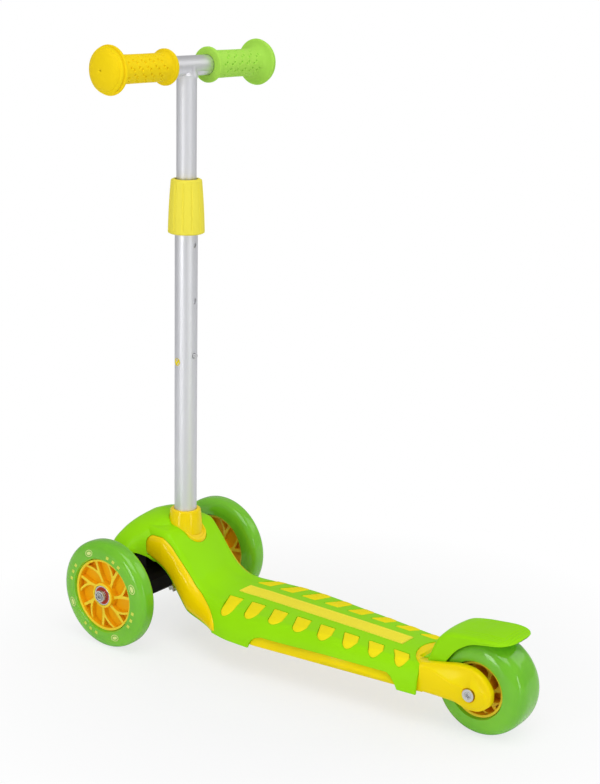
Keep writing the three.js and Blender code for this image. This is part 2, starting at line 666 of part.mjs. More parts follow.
function addChassis() {
  const room = hoodLoft(coverWall + fit, overrun * 6);
  const socket = cylinderZ(socketRadius, socketBottom, socketTop, 0, stemBehindAxle, 28);
  const boss = cylinderZ(bossOuterRadius, bossBottom, bossTop, 0, 0, 28);
  const arm = block(-bossOuterRadius, bossOuterRadius, springWallFront, 38, bossBottom, bossTop);
  const wall = block(-32, 32, springWallFront, springWallBack, 11, bossTop);
  const nose = alongKingpin(union(boss, arm, wall)).intersect(room);
  const neckOutline = [[24.5, 118], [24.5, 84], [30, 60], [50, 44], [100, 38], [118, 38], [118, 58],
    [103, 58], [95, 67], [75, 82], [56, 96], [46, 103], [40, 118]];
  const neck = extrudedX(neckOutline, -20, 20).intersect(bodyLoft(coverWall + fit, below));
  const tray = bodyLoft(coverWall + fit, below, 104, coverEnd).intersect(
    block(-wide, wide, 0, coverEnd, deckFootHeight + 3, trayTop));
  const pockets = [[112, 184], [188, 262], [266, 336]].map(([from, to]) =>
    bodyLoft(coverWall + fit + 3.5, below, from, to).intersect(
      block(-wide, wide, from, to, below, trayTop - trayPlate)));
  const root = block(-forkOuter - 2, forkOuter + 2, 345, forkRootEnd, deckFootHeight + 2, 65);
  const crescent = rearArc(-fit, 50, deckTop).intersect(bodyLoft(0.6, below));
  const behind = block(-wide, wide, coverEnd + fit, forkRootEnd + overrun, 0, deckTop * 2);
  const rootVisible = root.intersect(union(behind, rearArc(-fit, 0, deckTop * 2),
    bodyLoft(coverWall + fit, below)));
  const armOutline = [[forkRootEnd - 10, 36], [forkRootEnd - 10, 65], [370, 68], [381, 70.5], [392, 73],
    [404, 76], [414, 77], [424, 76], [433, 72], [441, 64.5], [445.5, 55], [445, 46], [439, 39], [431, 34.5],
    [422, 33.5], [413, 35], [404, 37], [393, 37]];
  const arms = union(extrudedX(armOutline, forkInner, forkOuter), extrudedX(armOutline, -forkOuter, -forkInner));
  const bolt = cylinderX(axleRadius + fit, -60, 60, wheelbase, rearWheelRadius, 16);
  const recesses = [-1, 1].map((side) => cylinderX(axleRecessRadius,
    Math.min(side * (forkOuter - axleRecessDepth), side * 60),
    Math.max(side * (forkOuter - axleRecessDepth), side * 60), wheelbase, rearWheelRadius, 24));
  const [pinY, pinZ] = brakePinPlace;
  const brakePocket = block(-brakePocketHalf, brakePocketHalf, pinY - 7.5, forkRootEnd + overrun, pinZ - 7, 90);
  const pinBore = cylinderX(brakePinRadius + fit, -brakePocketHalf - 6, brakePocketHalf + 6, pinY, pinZ, 14);
  const stemBore = cylinderZ(lowerTubeRadius + fit, lowerTubeBottom - fit, 140, 0, stemBehindAxle);
  const kingpinBore = alongKingpin(cylinderZ(kingpinRadius + fit, -10, 80, 0, 0, 20));
  const springSeats = [-springPlace, springPlace].map((x) => alongKingpin(
    cylinderY(springPocketRadius, springWallBack - 1, springWallBack + 1, x, springHeight)));
  const crossBore = cylinderX(stemBoltRadius + fit, -40, 40, stemBehindAxle, stemBoltHeight, 14);
  const screwBores = screwPlaces.map(([x, y]) => cylinderZ(screwRadius + fit, below, 70, x, y, 12));
  const kept = union(socket, nose, neck, cut(tray, ...pockets), rootVisible, crescent, arms);
  const boltRooms = [-1, 1].map((side) => cylinderX(stemNutRadius + 1, Math.min(side * socketRadius, side * 40),
    Math.max(side * socketRadius, side * 40), stemBehindAxle, stemBoltHeight, 20));
  addPart('chassis', cut(kept, collarBlank(fit), ...boltRooms, bolt, ...recesses, brakePocket, pinBore, stemBore, kingpinBore,
    ...springSeats, crossBore, ...screwBores), yellowPlastic);
}

const stemBoltRadius = 3;
const stemBoltHeight = 105;
const stemNutRadius = 5.6;

function addStemBolt() {
  const shank = socketRadius + fit;
  const bolt = union(cylinderX(stemBoltRadius, -shank - 5, shank + 1, stemBehindAxle, stemBoltHeight, 14),
    cylinderX(stemNutRadius, shank, shank + 3.5, stemBehindAxle, stemBoltHeight, 6));
  addPart('stem_bolt', bolt, steel);
  const nut = cut(cylinderX(stemNutRadius, -shank - 4, -shank, stemBehindAxle, stemBoltHeight, 6),
    cylinderX(stemBoltRadius + fit, -60, 60, stemBehindAxle, stemBoltHeight, 14));
  addPart('stem_nut', nut, steel);
}

// Pads that rise through the cover's windows, on one plate, and the strip between them
const padDrop = 1;
const padGap = 0.5;
const padPlateFront = 106;
const padPlateBack = 344;

function addPads() {
  const room = bodyLoft(coverWall + fit, below, padPlateFront, padPlateBack);
  const plate = room.intersect(
    block(-wide, wide, padPlateFront, padPlateBack, padPlateBottom, padPlateTop));
  const pads = eachWindow(padGap).intersect(bodyLoft(padDrop, below)).intersect(
    block(-wide, wide, 0, coverEnd, padPlateBottom, deckTop * 2));
  const holes = screwPlaces.map(([x, y]) => cylinderZ(bossRadius + fit * 2, 0, 100, x, y, 14));
  addPart('deck_pad_insert', cut(union(plate, pads), ...holes), padRubber);
  const strip = cut(bodyLoft(-0.8, below), bodyLoft(1.2, below)).intersect(
    block(-stripHalfWidth, stripHalfWidth, stripFront, stripBack, 50, deckTop * 2));
  addPart('center_strip', strip, yellowPlastic);
}

// Fender brake: shell over the tyre, side skirts, foot barrel and a pressed paddle
const fenderGap = 5.4;
const fenderWall = 3;
const fenderHalfWidth = 27.4;
const skirtInner = 25.2;
const paddleHalfWidth = 30;
const paddleFront = 406;
const paddleLength = 57;
const paddleThickness = 4;
const paddleHeight = 105.5;
const paddleRise = degrees(7);
const barrelRadius = 5;
const barrelHalf = 20;
const springBayHalf = 7;
const fenderTail = 452;

function addFender() {
  const [pinY, pinZ] = brakePinPlace;
  const arcAt = (radius, angle) => [wheelbase - radius * Math.cos(angle),
    rearWheelRadius + radius * Math.sin(angle)];
  const inner = [];
  const outer = [];
  const innerRadius = rearWheelRadius + fenderGap;
  const steps = 9;
  for (let i = 0; i <= steps; i += 1) {
    const angle = mix(degrees(19), degrees(90), i / steps);
    inner.push(arcAt(innerRadius, angle));
    outer.push(arcAt(innerRadius + fenderWall, angle));
  }
  inner.push([fenderTail, paddleHeight + 3.6]);
  outer.push([fenderTail, paddleHeight + 7.6]);
  const shell = extrudedX([...inner, ...outer.reverse()], -fenderHalfWidth, fenderHalfWidth);
  const skirtOutline = [[368.5, 68], [387, 70], [392, 78], [400, 88], [409, 94], [417, 97], [428, 99.5],
    [440, 101.5], [fenderTail, 103.5], ...outer.slice(0, 1), ...outer.slice(1)];
  const skirts = [-1, 1].map((side) => extrudedX(skirtOutline,
    Math.min(side * skirtInner, side * fenderHalfWidth), Math.max(side * skirtInner, side * fenderHalfWidth)));
  const barrel = cylinderX(barrelRadius, -barrelHalf, barrelHalf, pinY, pinZ, 20);
  const foot = extrudedX([[pinY - 3, pinZ + 3], [pinY + 2, pinZ - 3.5], [371.8, 66], [373.5, 71], [370, 73],
    [367.5, 69]], -barrelHalf, barrelHalf);
  const plate = new THREE.Shape();
  const corner = 14;
  const half = paddleHalfWidth;
  plate.moveTo(-half, 0);
  plate.lineTo(half, 0);
  plate.lineTo(half, paddleLength - corner * 1.4);
  plate.quadraticCurveTo(half, paddleLength - 3, half - corner, paddleLength);
  plate.lineTo(-half + corner, paddleLength);
  plate.quadraticCurveTo(-half, paddleLength - 3, -half, paddleLength - corner * 1.4);
  const geometry = new THREE.ExtrudeGeometry(plate, {
    depth: paddleThickness, bevelEnabled: false, curveSegments: 6,
  });
  geometry.rotateX(paddleRise);
  geometry.translate(0, paddleFront, paddleHeight);
  const bay = block(-springBayHalf, springBayHalf, pinY - 10, 367, pinZ - 10, pinZ + 7);
  const bore = cylinderX(brakePinRadius + fit, -60, 60, pinY, pinZ, 14);
  const body = union(shell, ...skirts, barrel, foot, solid(geometry));
  addPart('fender_brake', cut(body, bay, bore), greenPlastic);
  const pinEnd = brakePocketHalf + 5;
  addPart('brake_pin', cylinderX(brakePinRadius, -pinEnd, pinEnd, pinY, pinZ, 14), steel);
}

// A helical wire: one closed tube, with the least gap between its turns printed
function helix(radius, wire, turns, length) {
  const stepsPerTurn = 8;
  const sides = 5;
  const total = stepsPerTurn * turns;
  const rings = [];
  for (let i = 0; i <= total; i += 1) {
    const angle = 2 * Math.PI * i / stepsPerTurn;
    const centre = new THREE.Vector3(radius * Math.cos(angle), radius * Math.sin(angle), length * i / total);
    const outward = new THREE.Vector3(Math.cos(angle), Math.sin(angle), 0);
    const up = new THREE.Vector3(0, 0, 1);
    const ring = [];
    for (let k = 0; k < sides; k += 1) {
      const turn = 2 * Math.PI * k / sides;
      ring.push(centre.clone().addScaledVector(outward, wire * Math.cos(turn))
        .addScaledVector(up, wire * Math.sin(turn)));
    }
    rings.push(ring);
  }
  const gap = length / turns - 2 * wire;
  console.log(`spring of ${turns} turns: least gap ${gap.toFixed(2)} mm`);
  return loft(rings);
}

function addSprings() {
  const wire = 0.7;
  const length = -towerFront + springPocketDepth - (springWallBack - 1) - fit * 2 - wire * 2;
  for (const [side, word] of [[1, 'left'], [-1, 'right']]) {
    const coil = helix(4.6, wire, 6, length).rotate([-90, 0, 0]);
    addPart(`truck_spring_${word}`, alongKingpin(coil.translate([side * springPlace,
      springWallBack - 1 + fit + wire, springHeight])), steel);
  }
  const [pinY, pinZ] = brakePinPlace;
  const bay = springBayHalf - fit - wire;
  const coil = helix(3.6, wire, 5, bay * 2).rotate([0, 90, 0]);
  addPart('brake_spring', coil.translate([-bay, pinY, pinZ]), steel);
}

// Stem: lower tube, clamp sleeve, collar, T bar with its button and spring
const holeHeights = [];
for (let i = 0; i < heightHoleCount; i += 1) holeHeights.push(lowestHoleHeight + i * heightPitch);
const buttonRadius = heightHoleRadius - snapStep;
const buttonProud = 2.2;
const sleeveTop = 500;
const upperTubeBottom = lowestHoleHeight - upperTubeBelowButton;
const boreRadius = upperTubeRadius - tubeWall;
const barHalf = 118;

function addStem() {
  const axis = stemBehindAxle;
  const lower = cylinderZ(lowerTubeRadius, lowerTubeBottom, lowerTubeTop, 0, axis, 24);
  const holes = holeHeights.map((z) => cylinderY(heightHoleRadius, axis, axis + 30, 0, z, 14));
  addPart('lower_tube', cut(lower,
    cylinderZ(lowerTubeRadius - tubeWall, lowerTubeBottom - 1, lowerTubeTop + 1, 0, axis, 24), ...holes,
    cylinderX(stemBoltRadius + fit, -40, 40, axis, stemBoltHeight, 14)), steel);
  const sleeve = cut(cylinderZ(collarBoreRadius - fit, lowerTubeTop + fit, sleeveTop, 0, axis, 28),
    cylinderZ(upperTubeRadius + fit, 400, 520, 0, axis, 24),
    block(-30, 0, axis - 1, axis + 1, 400, 520));
  addPart('clamp_sleeve', sleeve, blackPlastic);
  const upper = cylinderZ(upperTubeRadius, upperTubeBottom, crossbarHeight, 0, axis, 24);
  const bar = cylinderX(crossbarRadius, -barHalf, barHalf, axis, crossbarHeight, 28);
  const inTube = upperTubeRadius - fit;
  const weld = turned([[0, crossbarHeight - 14], [inTube, crossbarHeight - 14],
    [upperTubeRadius + 1.6, crossbarHeight - 9.5], [inTube, crossbarHeight - 4],
    [0, crossbarHeight - 4]], 20);
  addPart('t_bar', cut(union(upper, bar, place(weld, 0, axis, 0)),
    cylinderZ(boreRadius, upperTubeBottom - 1, crossbarHeight, 0, axis, 24),
    cylinderX(crossbarRadius - tubeWall, -barHalf - 1, barHalf + 1, axis, crossbarHeight, 24),
    cylinderY(heightHoleRadius, axis, axis + 30, 0, lowestHoleHeight, 14)), steel);
  const pin = cylinderY(buttonRadius, axis + 6, axis + lowerTubeRadius + buttonProud, 0, lowestHoleHeight, 16);
  const flange = cylinderY(4, axis + 5.6, axis + 7.6, 0, lowestHoleHeight, 16);
  addPart('height_button', union(pin, flange), steel);
  const z = lowestHoleHeight;
  const spring = extrudedX([[axis + 5.2, z + 5], [axis + 4.4, z + 5], [axis + 4.4, z - 14], [axis + 1, z - 21],
    [axis - 3.5, z - 21], [axis - 7.6, z - 14], [axis - 7.6, z + 2], [axis - 8.4, z + 2], [axis - 8.4, z - 14.3],
    [axis - 4, z - 21.8], [axis + 1.4, z - 21.8], [axis + 5.2, z - 14.3]], -2.5, 2.5);
  addPart('button_spring', spring, steel);
}

function addHeightCollar() {
  const height = collarTop - collarBottom;
  const outline = [[0, -1.6], [0.04, 0], [0.5, 0], [0.93, 0], [0.985, -1], [1, -2.2]];
  const rings = outline.map(([share, tuck]) => {
    const radius = mix(collarBottomRadius, collarTopRadius, share) + tuck;
    const points = [];
    const steps = collarFluteCount * 3;
    for (let i = 0; i < steps; i += 1) {
      const angle = 2 * Math.PI * i / steps;
      const groove = collarFluteDepth * (0.5 - 0.5 * Math.cos(angle * collarFluteCount)) ** 2;
      const r = radius - (share > 0.02 && share < 0.95 ? groove : 0);
      points.push(new THREE.Vector3(r * Math.cos(angle), r * Math.sin(angle), collarBottom + height * share));
    }
    return points;
  });
  const low = cylinderZ(lowerTubeRadius + fit, 400, 520, 0, 0, 32);
  const cup = cylinderZ(collarBoreRadius, lowerTubeTop, collarTop - collarLip, 0, 0, 28);
  addPart('height_collar', place(cut(loft(rings), low, cup), 0, stemBehindAxle, 0), yellowPlastic);
}

// Grips: inner flange, body and a domed end disc with a stepped face
const gripBodyRadius = 14.5;
const gripFlangeRadius = 18.5;
const gripDiscRadius = 26;
const gripEnd = 126;

function addGrips() {
  const bore = crossbarRadius + fit;
  const start = bareBarHalf;
  const discStart = gripEnd - 8;
  const profile = [[bore, start], [gripFlangeRadius - 1.5, start], [gripFlangeRadius, start + 2],
    [gripFlangeRadius, start + 4.5], [gripBodyRadius, start + 8],
    [gripBodyRadius, discStart - 4], [gripDiscRadius - 2, discStart],
    [gripDiscRadius, discStart + 1.8], [gripDiscRadius - 0.6, discStart + 4], [20.5, discStart + 5.6],
    [19.6, discStart + 4.8], [18, discStart + 6.4], [10, gripEnd], [2, gripEnd + 0.4],
    [2, barHalf + fit + 1], [2, barHalf + fit], [bore, barHalf + fit]];
  for (const [side, word, material] of [[1, 'left', padRubber], [-1, 'right', greenRubber]]) {
    const grip = turnedX(profile, 20, 0, stemBehindAxle, crossbarHeight);
    addPart(`grip_${word}`, side > 0 ? grip : grip.mirror([1, 0, 0]), material);
  }
}

// Axle bolts of the front wheels, and the bolt and nut of the rear one
function socketHead(from, to, y, z) {
  const mouth = to > from ? to - axleSocketDepth : to + axleSocketDepth;
  const [low, high] = [Math.min(from, to), Math.max(from, to)];
  const [near, far] = [Math.min(mouth, to + (to > from ? 1 : -1)), Math.max(mouth, to + (to > from ? 1 : -1))];
  return cut(cylinderX(axleHeadRadius, low, high, y, z, 24), cylinderX(axleSocketRadius, near, far, y, z, 6));
}

function addAxles() {
  for (const [side, word] of [[1, 'left'], [-1, 'right']]) {
    const outerFace = track / 2 + frontHubWidth / 2 - bearingEndInset + fit;
    const head = socketHead(side * outerFace, side * (outerFace + axleHeadHeight), 0, frontAxleHeight);
    const shank = cylinderX(axleRadius, Math.min(side * 50, side * (outerFace + 1)),
      Math.max(side * 50, side * (outerFace + 1)), 0, frontAxleHeight, 16);
    addPart(`front_${word}_axle_bolt`, union(head, shank), steel);
  }
  const seat = forkOuter - axleRecessDepth + fit;
  const head = socketHead(seat, seat + axleHeadHeight, wheelbase, rearWheelRadius);
  const shank = cylinderX(axleRadius, -seat - 5.5, seat + 1, wheelbase, rearWheelRadius, 16);
  addPart('rear_axle_bolt', union(head, shank), steel);
  const nut = cut(cylinderX(6.4, -seat - 5, -seat, wheelbase, rearWheelRadius, 6),
    cylinderX(axleRadius + fit, -60, 60, wheelbase, rearWheelRadius, 16));
  addPart('rear_axle_nut', nut, steel);
}

function addScrews() {
  screwPlaces.forEach(([x, y], index) => {
    const under = trayTop - trayPlate;
    const head = cylinderZ(screwHeadRadius, under - fit - 2.2, under - fit, x, y, 14);
    const shank = cylinderZ(screwRadius, under - 1, 62, x, y, 12);
    addPart(`cover_screw_${index + 1}`, union(head, shank), steel);
  });
}

addCover();
addTrims();
addStemCollar();
addPads();
addChassis();
addTruck();
addKingpin();
addStemBolt();
addSprings();
addFender();
addStem();
addHeightCollar();
addGrips();
addAxles();
addScrews();
for (const [side, word] of [[1, 'left'], [-1, 'right']]) {
  addWheel(`front_${word}`, side * track / 2, 0, frontAxleHeight, frontWheelRadius, frontTyreWidth,
    frontCoreRadius, frontCoreWidth, frontHubWidth);
}
addWheel('rear', 0, wheelbase, rearWheelRadius, rearWheelRadius, rearTyreWidth, rearCoreRadius,
  rearCoreWidth, rearHubWidth);

export default scooter;
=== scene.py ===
# Three wheel kids scooter: finishes, fine forms, floor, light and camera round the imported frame.
from math import acos, asin, atan2, ceil, copysign, cos, dist, hypot, pi, radians, sin, sqrt

import bmesh
import bpy
from mathutils import Matrix, Vector

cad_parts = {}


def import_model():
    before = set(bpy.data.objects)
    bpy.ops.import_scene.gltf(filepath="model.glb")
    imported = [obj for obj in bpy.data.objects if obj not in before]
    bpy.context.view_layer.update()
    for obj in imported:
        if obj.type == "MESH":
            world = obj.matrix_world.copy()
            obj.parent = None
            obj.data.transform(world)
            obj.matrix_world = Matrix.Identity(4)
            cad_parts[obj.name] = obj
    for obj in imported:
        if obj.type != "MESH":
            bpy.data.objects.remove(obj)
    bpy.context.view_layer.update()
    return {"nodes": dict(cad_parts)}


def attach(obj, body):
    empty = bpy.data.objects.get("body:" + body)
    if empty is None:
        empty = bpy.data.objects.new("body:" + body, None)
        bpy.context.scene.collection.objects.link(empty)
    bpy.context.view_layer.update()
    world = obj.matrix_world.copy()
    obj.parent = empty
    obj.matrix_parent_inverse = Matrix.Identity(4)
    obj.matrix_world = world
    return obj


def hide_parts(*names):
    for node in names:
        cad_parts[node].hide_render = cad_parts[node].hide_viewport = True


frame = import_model()
nodes = frame["nodes"]

# Sizes shared with the frame, in millimetres from the middle of the front axle's ground line
MM = 0.001
WHEELBASE = 422.0
FRONT_RADIUS = 60.0
REAR_RADIUS = 50.0
TRACK = 187.0
SHIFT = -(WHEELBASE + REAR_RADIUS - FRONT_RADIUS) / 2
FIT = 0.3
STEM_Y = 27.3
BAR_HEIGHT = 620.0
DECK_FOOT = 34.0
COVER_WALL = 2.4
COVER_END = 364.5
ARC_RADIUS = 38.0
ARC_MIDDLE = 382.0
BELOW = 22.0
FAR = 90.0
TUBE_ROOM = 12.55
HINGE = (0, 362.0, 61.4)
REAR_AXLE = (0, WHEELBASE, REAR_RADIUS)
SOCKET_ROOM = 16.9
ON_AXIS = 0.01
HANDS = (("left", 1), ("right", -1))


def at(point):
    """A point in millimetres from the front axle, as metres in the row's frame."""
    return Vector((point[0] * MM, (point[1] + SHIFT) * MM, point[2] * MM))


def mix(a, b, share):
    return a + (b - a) * share


def unit(value):
    """The value, held between 0 and 1."""
    return min(1.0, max(0.0, value))


def hump(place):
    """1 at place 0, falling to 0 at -1 and 1."""
    return max(0.0, 1 - place**2)


# Materials
def srgb(red, green, blue):
    """A colour given as 0..255 picture values, as linear light."""
    def linear(value):
        value /= 255
        return value / 12.92 if value <= 0.04045 else ((value + 0.055) / 1.055) ** 2.4
    return (linear(red), linear(green), linear(blue), 1.0)


def shade(color, factor):
    return tuple(min(1.0, c * factor) for c in color[:3]) + (1.0,)


def add_node(tree, kind, inputs=None, **settings):
    """A node with its settings; each input is a constant or another node's socket."""
    made = tree.nodes.new(kind)
    for key, value in settings.items():
        setattr(made, key, value)
    for key, value in (inputs or {}).items():
        if isinstance(value, bpy.types.NodeSocket):
            tree.links.new(value, made.inputs[key])
        else:
            made.inputs[key].default_value = value
    return made


class Material:
    """A principled material whose nodes are driven by place on the object."""

    def __init__(self, name, roughness=0.4, metallic=0.0, coat=0.0, specular=0.5):
        self.material = bpy.data.materials.new(name)
        self.material.use_nodes = True
        self.tree = self.material.node_tree
        self.shader = self.tree.nodes["Principled BSDF"]
        self.shader.inputs["Roughness"].default_value = roughness
        self.shader.inputs["Metallic"].default_value = metallic
        self.shader.inputs["Coat Weight"].default_value = coat
        self.shader.inputs["Specular IOR Level"].default_value = specular
        self.coords = add_node(self.tree, "ShaderNodeTexCoord").outputs["Object"]

    def feed(self, name, socket):
        self.tree.links.new(socket, self.shader.inputs[name])

    def noise(self, scale, detail=3.0, vector=None):
        inputs = {"Scale": scale, "Detail": detail, "Vector": vector or self.coords}
        return add_node(self.tree, "ShaderNodeTexNoise", inputs).outputs["Fac"]

    def multiply(self, a, b):
        return add_node(self.tree, "ShaderNodeMath", {0: a, 1: b}, operation="MULTIPLY").outputs[0]

    def span(self, value, low, high, out_low=0.0, out_high=1.0):
        inputs = {"Value": value, "From Min": low, "From Max": high, "To Min": out_low, "To Max": out_high}
        return add_node(self.tree, "ShaderNodeMapRange", inputs).outputs["Result"]

    def blend(self, factor, first, second):
        inputs = {"Factor": factor, 6: first, 7: second}
        return add_node(self.tree, "ShaderNodeMix", inputs, data_type="RGBA").outputs[2]

    def stretched(self, x, y, z):
        inputs = {"Scale": (x, y, z), "Vector": self.coords}
        return add_node(self.tree, "ShaderNodeMapping", inputs).outputs["Vector"]

    def rounding(self, width):
        """Normals that round sharp edges off over this width."""
        return add_node(self.tree, "ShaderNodeBevel", {"Radius": width}, samples=6).outputs["Normal"]

    def bump(self, height, distance, strength, under=None):
        inputs = {"Distance": distance, "Strength": strength, "Height": height}
        if under is not None:
            inputs["Normal"] = under
        self.feed("Normal", add_node(self.tree, "ShaderNodeBump", inputs).outputs["Normal"])

    def edge_highlight_mask(self, rounded):
        """Mask for the painted edge highlight: about 1 on outer edges, 0 elsewhere."""
        normals = {0: rounded, 1: add_node(self.tree, "ShaderNodeNewGeometry").outputs["True Normal"]}
        dot = add_node(self.tree, "ShaderNodeVectorMath", normals, operation="DOT_PRODUCT")
        return self.span(dot.outputs["Value"], 0.995, 0.85)


def moulded(name, color, roughness, coat=0.0, grain=0.00003, grain_scale=2600.0, dark=0.93, radius=0.0007,
            strength=0.5, edge=1.2, specular=0.08):
    """Moulded plastic: slight colour drift, fine grain, rounded edges, and edges painted lighter as a
    painted highlight.
    """
    made = Material(name, roughness=roughness, coat=coat, specular=specular)
    drift = made.span(made.noise(9.0, 2.0), 0.35, 0.65)
    base = made.blend(drift, shade(color, dark), color)
    rounded = made.rounding(radius)
    # Outer edges blend towards a lighter colour (the edge factor): a painted highlight.
    made.feed("Base Color", made.blend(made.multiply(made.edge_highlight_mask(rounded), 0.35), base, shade(color, edge)))
    smear = made.span(made.noise(60.0, 4.0), 0.3, 0.7, roughness * 0.85, min(1.0, roughness * 1.2))
    made.feed("Roughness", smear)
    made.bump(made.noise(grain_scale, 2.0), grain, strength, rounded)
    return made.material


def steel(name, color, roughness, stretch=(8.0, 900.0, 900.0)):
    """Plated or brushed steel with faint draw lines."""
    made = Material(name, roughness=roughness, metallic=1.0)
    lines = made.noise(1.0, 3.0, made.stretched(*stretch))
    drawn = made.span(lines, 0.3, 0.7)
    made.feed("Base Color", made.blend(drawn, shade(color, 0.95), color))
    made.feed("Roughness", made.span(lines, 0.3, 0.7, roughness * 0.85, roughness * 1.2))
    made.bump(lines, 0.00001, 0.3, made.rounding(0.0003))
    return made.material


UPRIGHT = (900.0, 900.0, 8.0)
body_green = moulded("body_green", srgb(156, 232, 10), 0.42, coat=0.04)
fender_green = moulded("fender_green", srgb(156, 232, 14), 0.45, coat=0.02)
trim_yellow = moulded("trim_yellow", srgb(254, 220, 2), 0.24, coat=0.25)
chassis_yellow = moulded("chassis_yellow", srgb(255, 226, 2), 0.34, coat=0.1)
pad_yellow = moulded("pad_yellow", srgb(252, 234, 24), 0.6, grain=0.00012, grain_scale=900.0,
                     strength=0.6, edge=1.1)
strip_yellow = moulded("strip_yellow", srgb(255, 240, 66), 0.62, grain=0.0002, grain_scale=700.0,
                       strength=0.7)
strip_edge = moulded("strip_edge", srgb(246, 232, 70), 0.5)
collar_yellow = moulded("collar_yellow", srgb(248, 234, 80), 0.5, grain=0.00005)
grip_yellow = moulded("grip_yellow", srgb(252, 219, 18), 0.55, grain=0.00006, grain_scale=1500.0)
grip_green = moulded("grip_green", srgb(176, 232, 88), 0.55, grain=0.00006, grain_scale=1500.0)
core_face = moulded("core_face", srgb(254, 224, 56), 0.3, coat=0.1)
# Darker, deeper orange for recess faces of the wheel cores and the rear axle recess: painted shade.
recess_shade_orange = moulded("recess_shade_orange", srgb(254, 190, 16), 0.35)
truck_black = moulded("truck_black", srgb(16, 14, 15), 0.42, dark=0.8)
seal_red = moulded("seal_red", srgb(186, 62, 44), 0.45)
mark_cream = moulded("mark_cream", srgb(228, 244, 150), 0.35)
mark_yellow = moulded("mark_yellow", srgb(222, 232, 92), 0.35)
dot_yellow = moulded("dot_yellow", srgb(250, 226, 30), 0.4)
tube_silver = steel("tube_silver", srgb(232, 232, 235), 0.48, UPRIGHT)
bolt_steel = steel("bolt_steel", srgb(214, 214, 214), 0.22)
race_steel = steel("race_steel", srgb(228, 226, 222), 0.18)
spring_steel = steel("spring_steel", srgb(170, 170, 172), 0.3, UPRIGHT)


def urethane(name, color, deep):
    """Clear coloured wheel rubber: light soaks in a little, the surface is glossy."""
    made = Material(name, roughness=0.12, coat=0.2, specular=0.4)
    made.shader.inputs["Subsurface Weight"].default_value = 0.25
    made.shader.inputs["Subsurface Radius"].default_value = (0.6, 1.0, 0.25)
    made.shader.inputs["Subsurface Scale"].default_value = 0.004
    cloud = made.span(made.noise(22.0, 2.0), 0.35, 0.65)
    made.feed("Base Color", made.blend(cloud, deep, color))
    made.feed("Roughness", made.span(made.noise(90.0, 3.0), 0.35, 0.7, 0.08, 0.2))
    made.bump(made.noise(300.0, 2.0), 0.00002, 0.3)
    return made.material


tyre_green = urethane("tyre_green", srgb(128, 206, 44), srgb(114, 194, 36))


# Mesh helpers
def smooth_group():
    """Modifier nodes that shade smooth wherever faces meet at less than an angle."""
    group = bpy.data.node_groups.new("smooth_by_angle", "GeometryNodeTree")
    for way in ("INPUT", "OUTPUT"):
        group.interface.new_socket("Geometry", in_out=way, socket_type="NodeSocketGeometry")
    start = add_node(group, "NodeGroupInput")
    angle = add_node(group, "GeometryNodeInputMeshEdgeAngle").outputs["Unsigned Angle"]
    gentle = add_node(group, "FunctionNodeCompare", {0: angle, 1: radians(36)}, data_type="FLOAT",
                      operation="LESS_THAN")
    faces = add_node(group, "GeometryNodeSetShadeSmooth", {"Geometry": start.outputs[0]})
    inputs = {"Geometry": faces.outputs[0], "Shade Smooth": gentle.outputs[0]}
    edges = add_node(group, "GeometryNodeSetShadeSmooth", inputs, domain="EDGE")
    add_node(group, "NodeGroupOutput", {0: edges.outputs[0]})
    return group


SMOOTH = smooth_group()


def soften(obj):
    """Welds the frame's split corners and shades the rounds smooth; the mesh itself is untouched."""
    mesh = obj.data
    if "custom_normal" in mesh.attributes:
        mesh.attributes.remove(mesh.attributes["custom_normal"])
    obj.modifiers.new("weld", "WELD").merge_threshold = 0.000002
    obj.modifiers.new("smooth", "NODES").node_group = SMOOTH


def placed(name, data):
    """A new object of the scene."""
    obj = bpy.data.objects.new(name, data)
    bpy.context.scene.collection.objects.link(obj)
    return obj


def painted(obj, *materials):
    """Gives a piece its materials, the first one everywhere."""
    obj.data.materials.clear()
    for material in materials:
        obj.data.materials.append(material)
    for polygon in obj.data.polygons:
        polygon.material_index = 0
    return obj


def dress(material, *names):
    """Gives CAD nodes that keep their shape a finish."""
    for name in names:
        soften(painted(nodes[name], material))


def weld(mesh):
    """Joins points that coincide and turns all faces outwards."""
    made = bmesh.new()
    made.from_mesh(mesh)
    bmesh.ops.remove_doubles(made, verts=made.verts, dist=1e-6)
    bmesh.ops.recalc_face_normals(made, faces=made.faces)
    made.to_mesh(mesh)
    made.free()


def mesh_piece(name, points, faces, materials=(), kinds=()):
    """A new object from points in millimetres; kinds gives each face's material."""
    mesh = bpy.data.meshes.new(name)
    mesh.from_pydata([at(p) for p in points], [], faces)
    for material in materials:
        mesh.materials.append(material)
    for polygon, kind in zip(mesh.polygons, kinds):
        polygon.material_index = kind
    weld(mesh)
    return placed(name, mesh)


def install(obj, body, replaced=(), angle=36):
    """Shades a piece, ties it to its body and hides the nodes that it stands for."""
    for polygon in obj.data.polygons:
        polygon.use_smooth = True
    obj.data.set_sharp_from_angle(angle=radians(angle))
    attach(obj, body)
    if replaced:
        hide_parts(*replaced)


def lathe(name, profile, sides, place, materials=(), kinds=()):
    """A closed profile of [radius, along] points turned about the axis that place knows."""
    count = len(profile)
    points = [place(radius, along, 2 * pi * i / sides)
              for i in range(sides) for radius, along in profile]
    faces = []
    for i in range(sides):
        here = i * count
        after = (i + 1) % sides * count
        for j in range(count):
            k = (j + 1) % count
            faces.append((here + j, here + k, after + k, after + j))
    return mesh_piece(name, points, faces, materials, list(kinds) * sides)


def lathe_x(name, profile, sides, centre, materials=(), kinds=()):
    x, y, z = centre

    def place(radius, along, angle):
        return (x + along, y + radius * cos(angle), z + radius * sin(angle))

    return lathe(name, profile, sides, place, materials, kinds)


def mirrored(half):
    """A profile given for one side, from the axis outwards, with its other side."""
    return [[radius, -along] for radius, along in half] + half[::-1]


def rod_x(name, radius, from_x, to_x, sides, centre):
    """A round bar; its ends are counted from the centre."""
    profile = [[ON_AXIS, from_x], [radius, from_x], [radius, to_x], [ON_AXIS, to_x]]
    return lathe_x(name, profile, sides, centre)


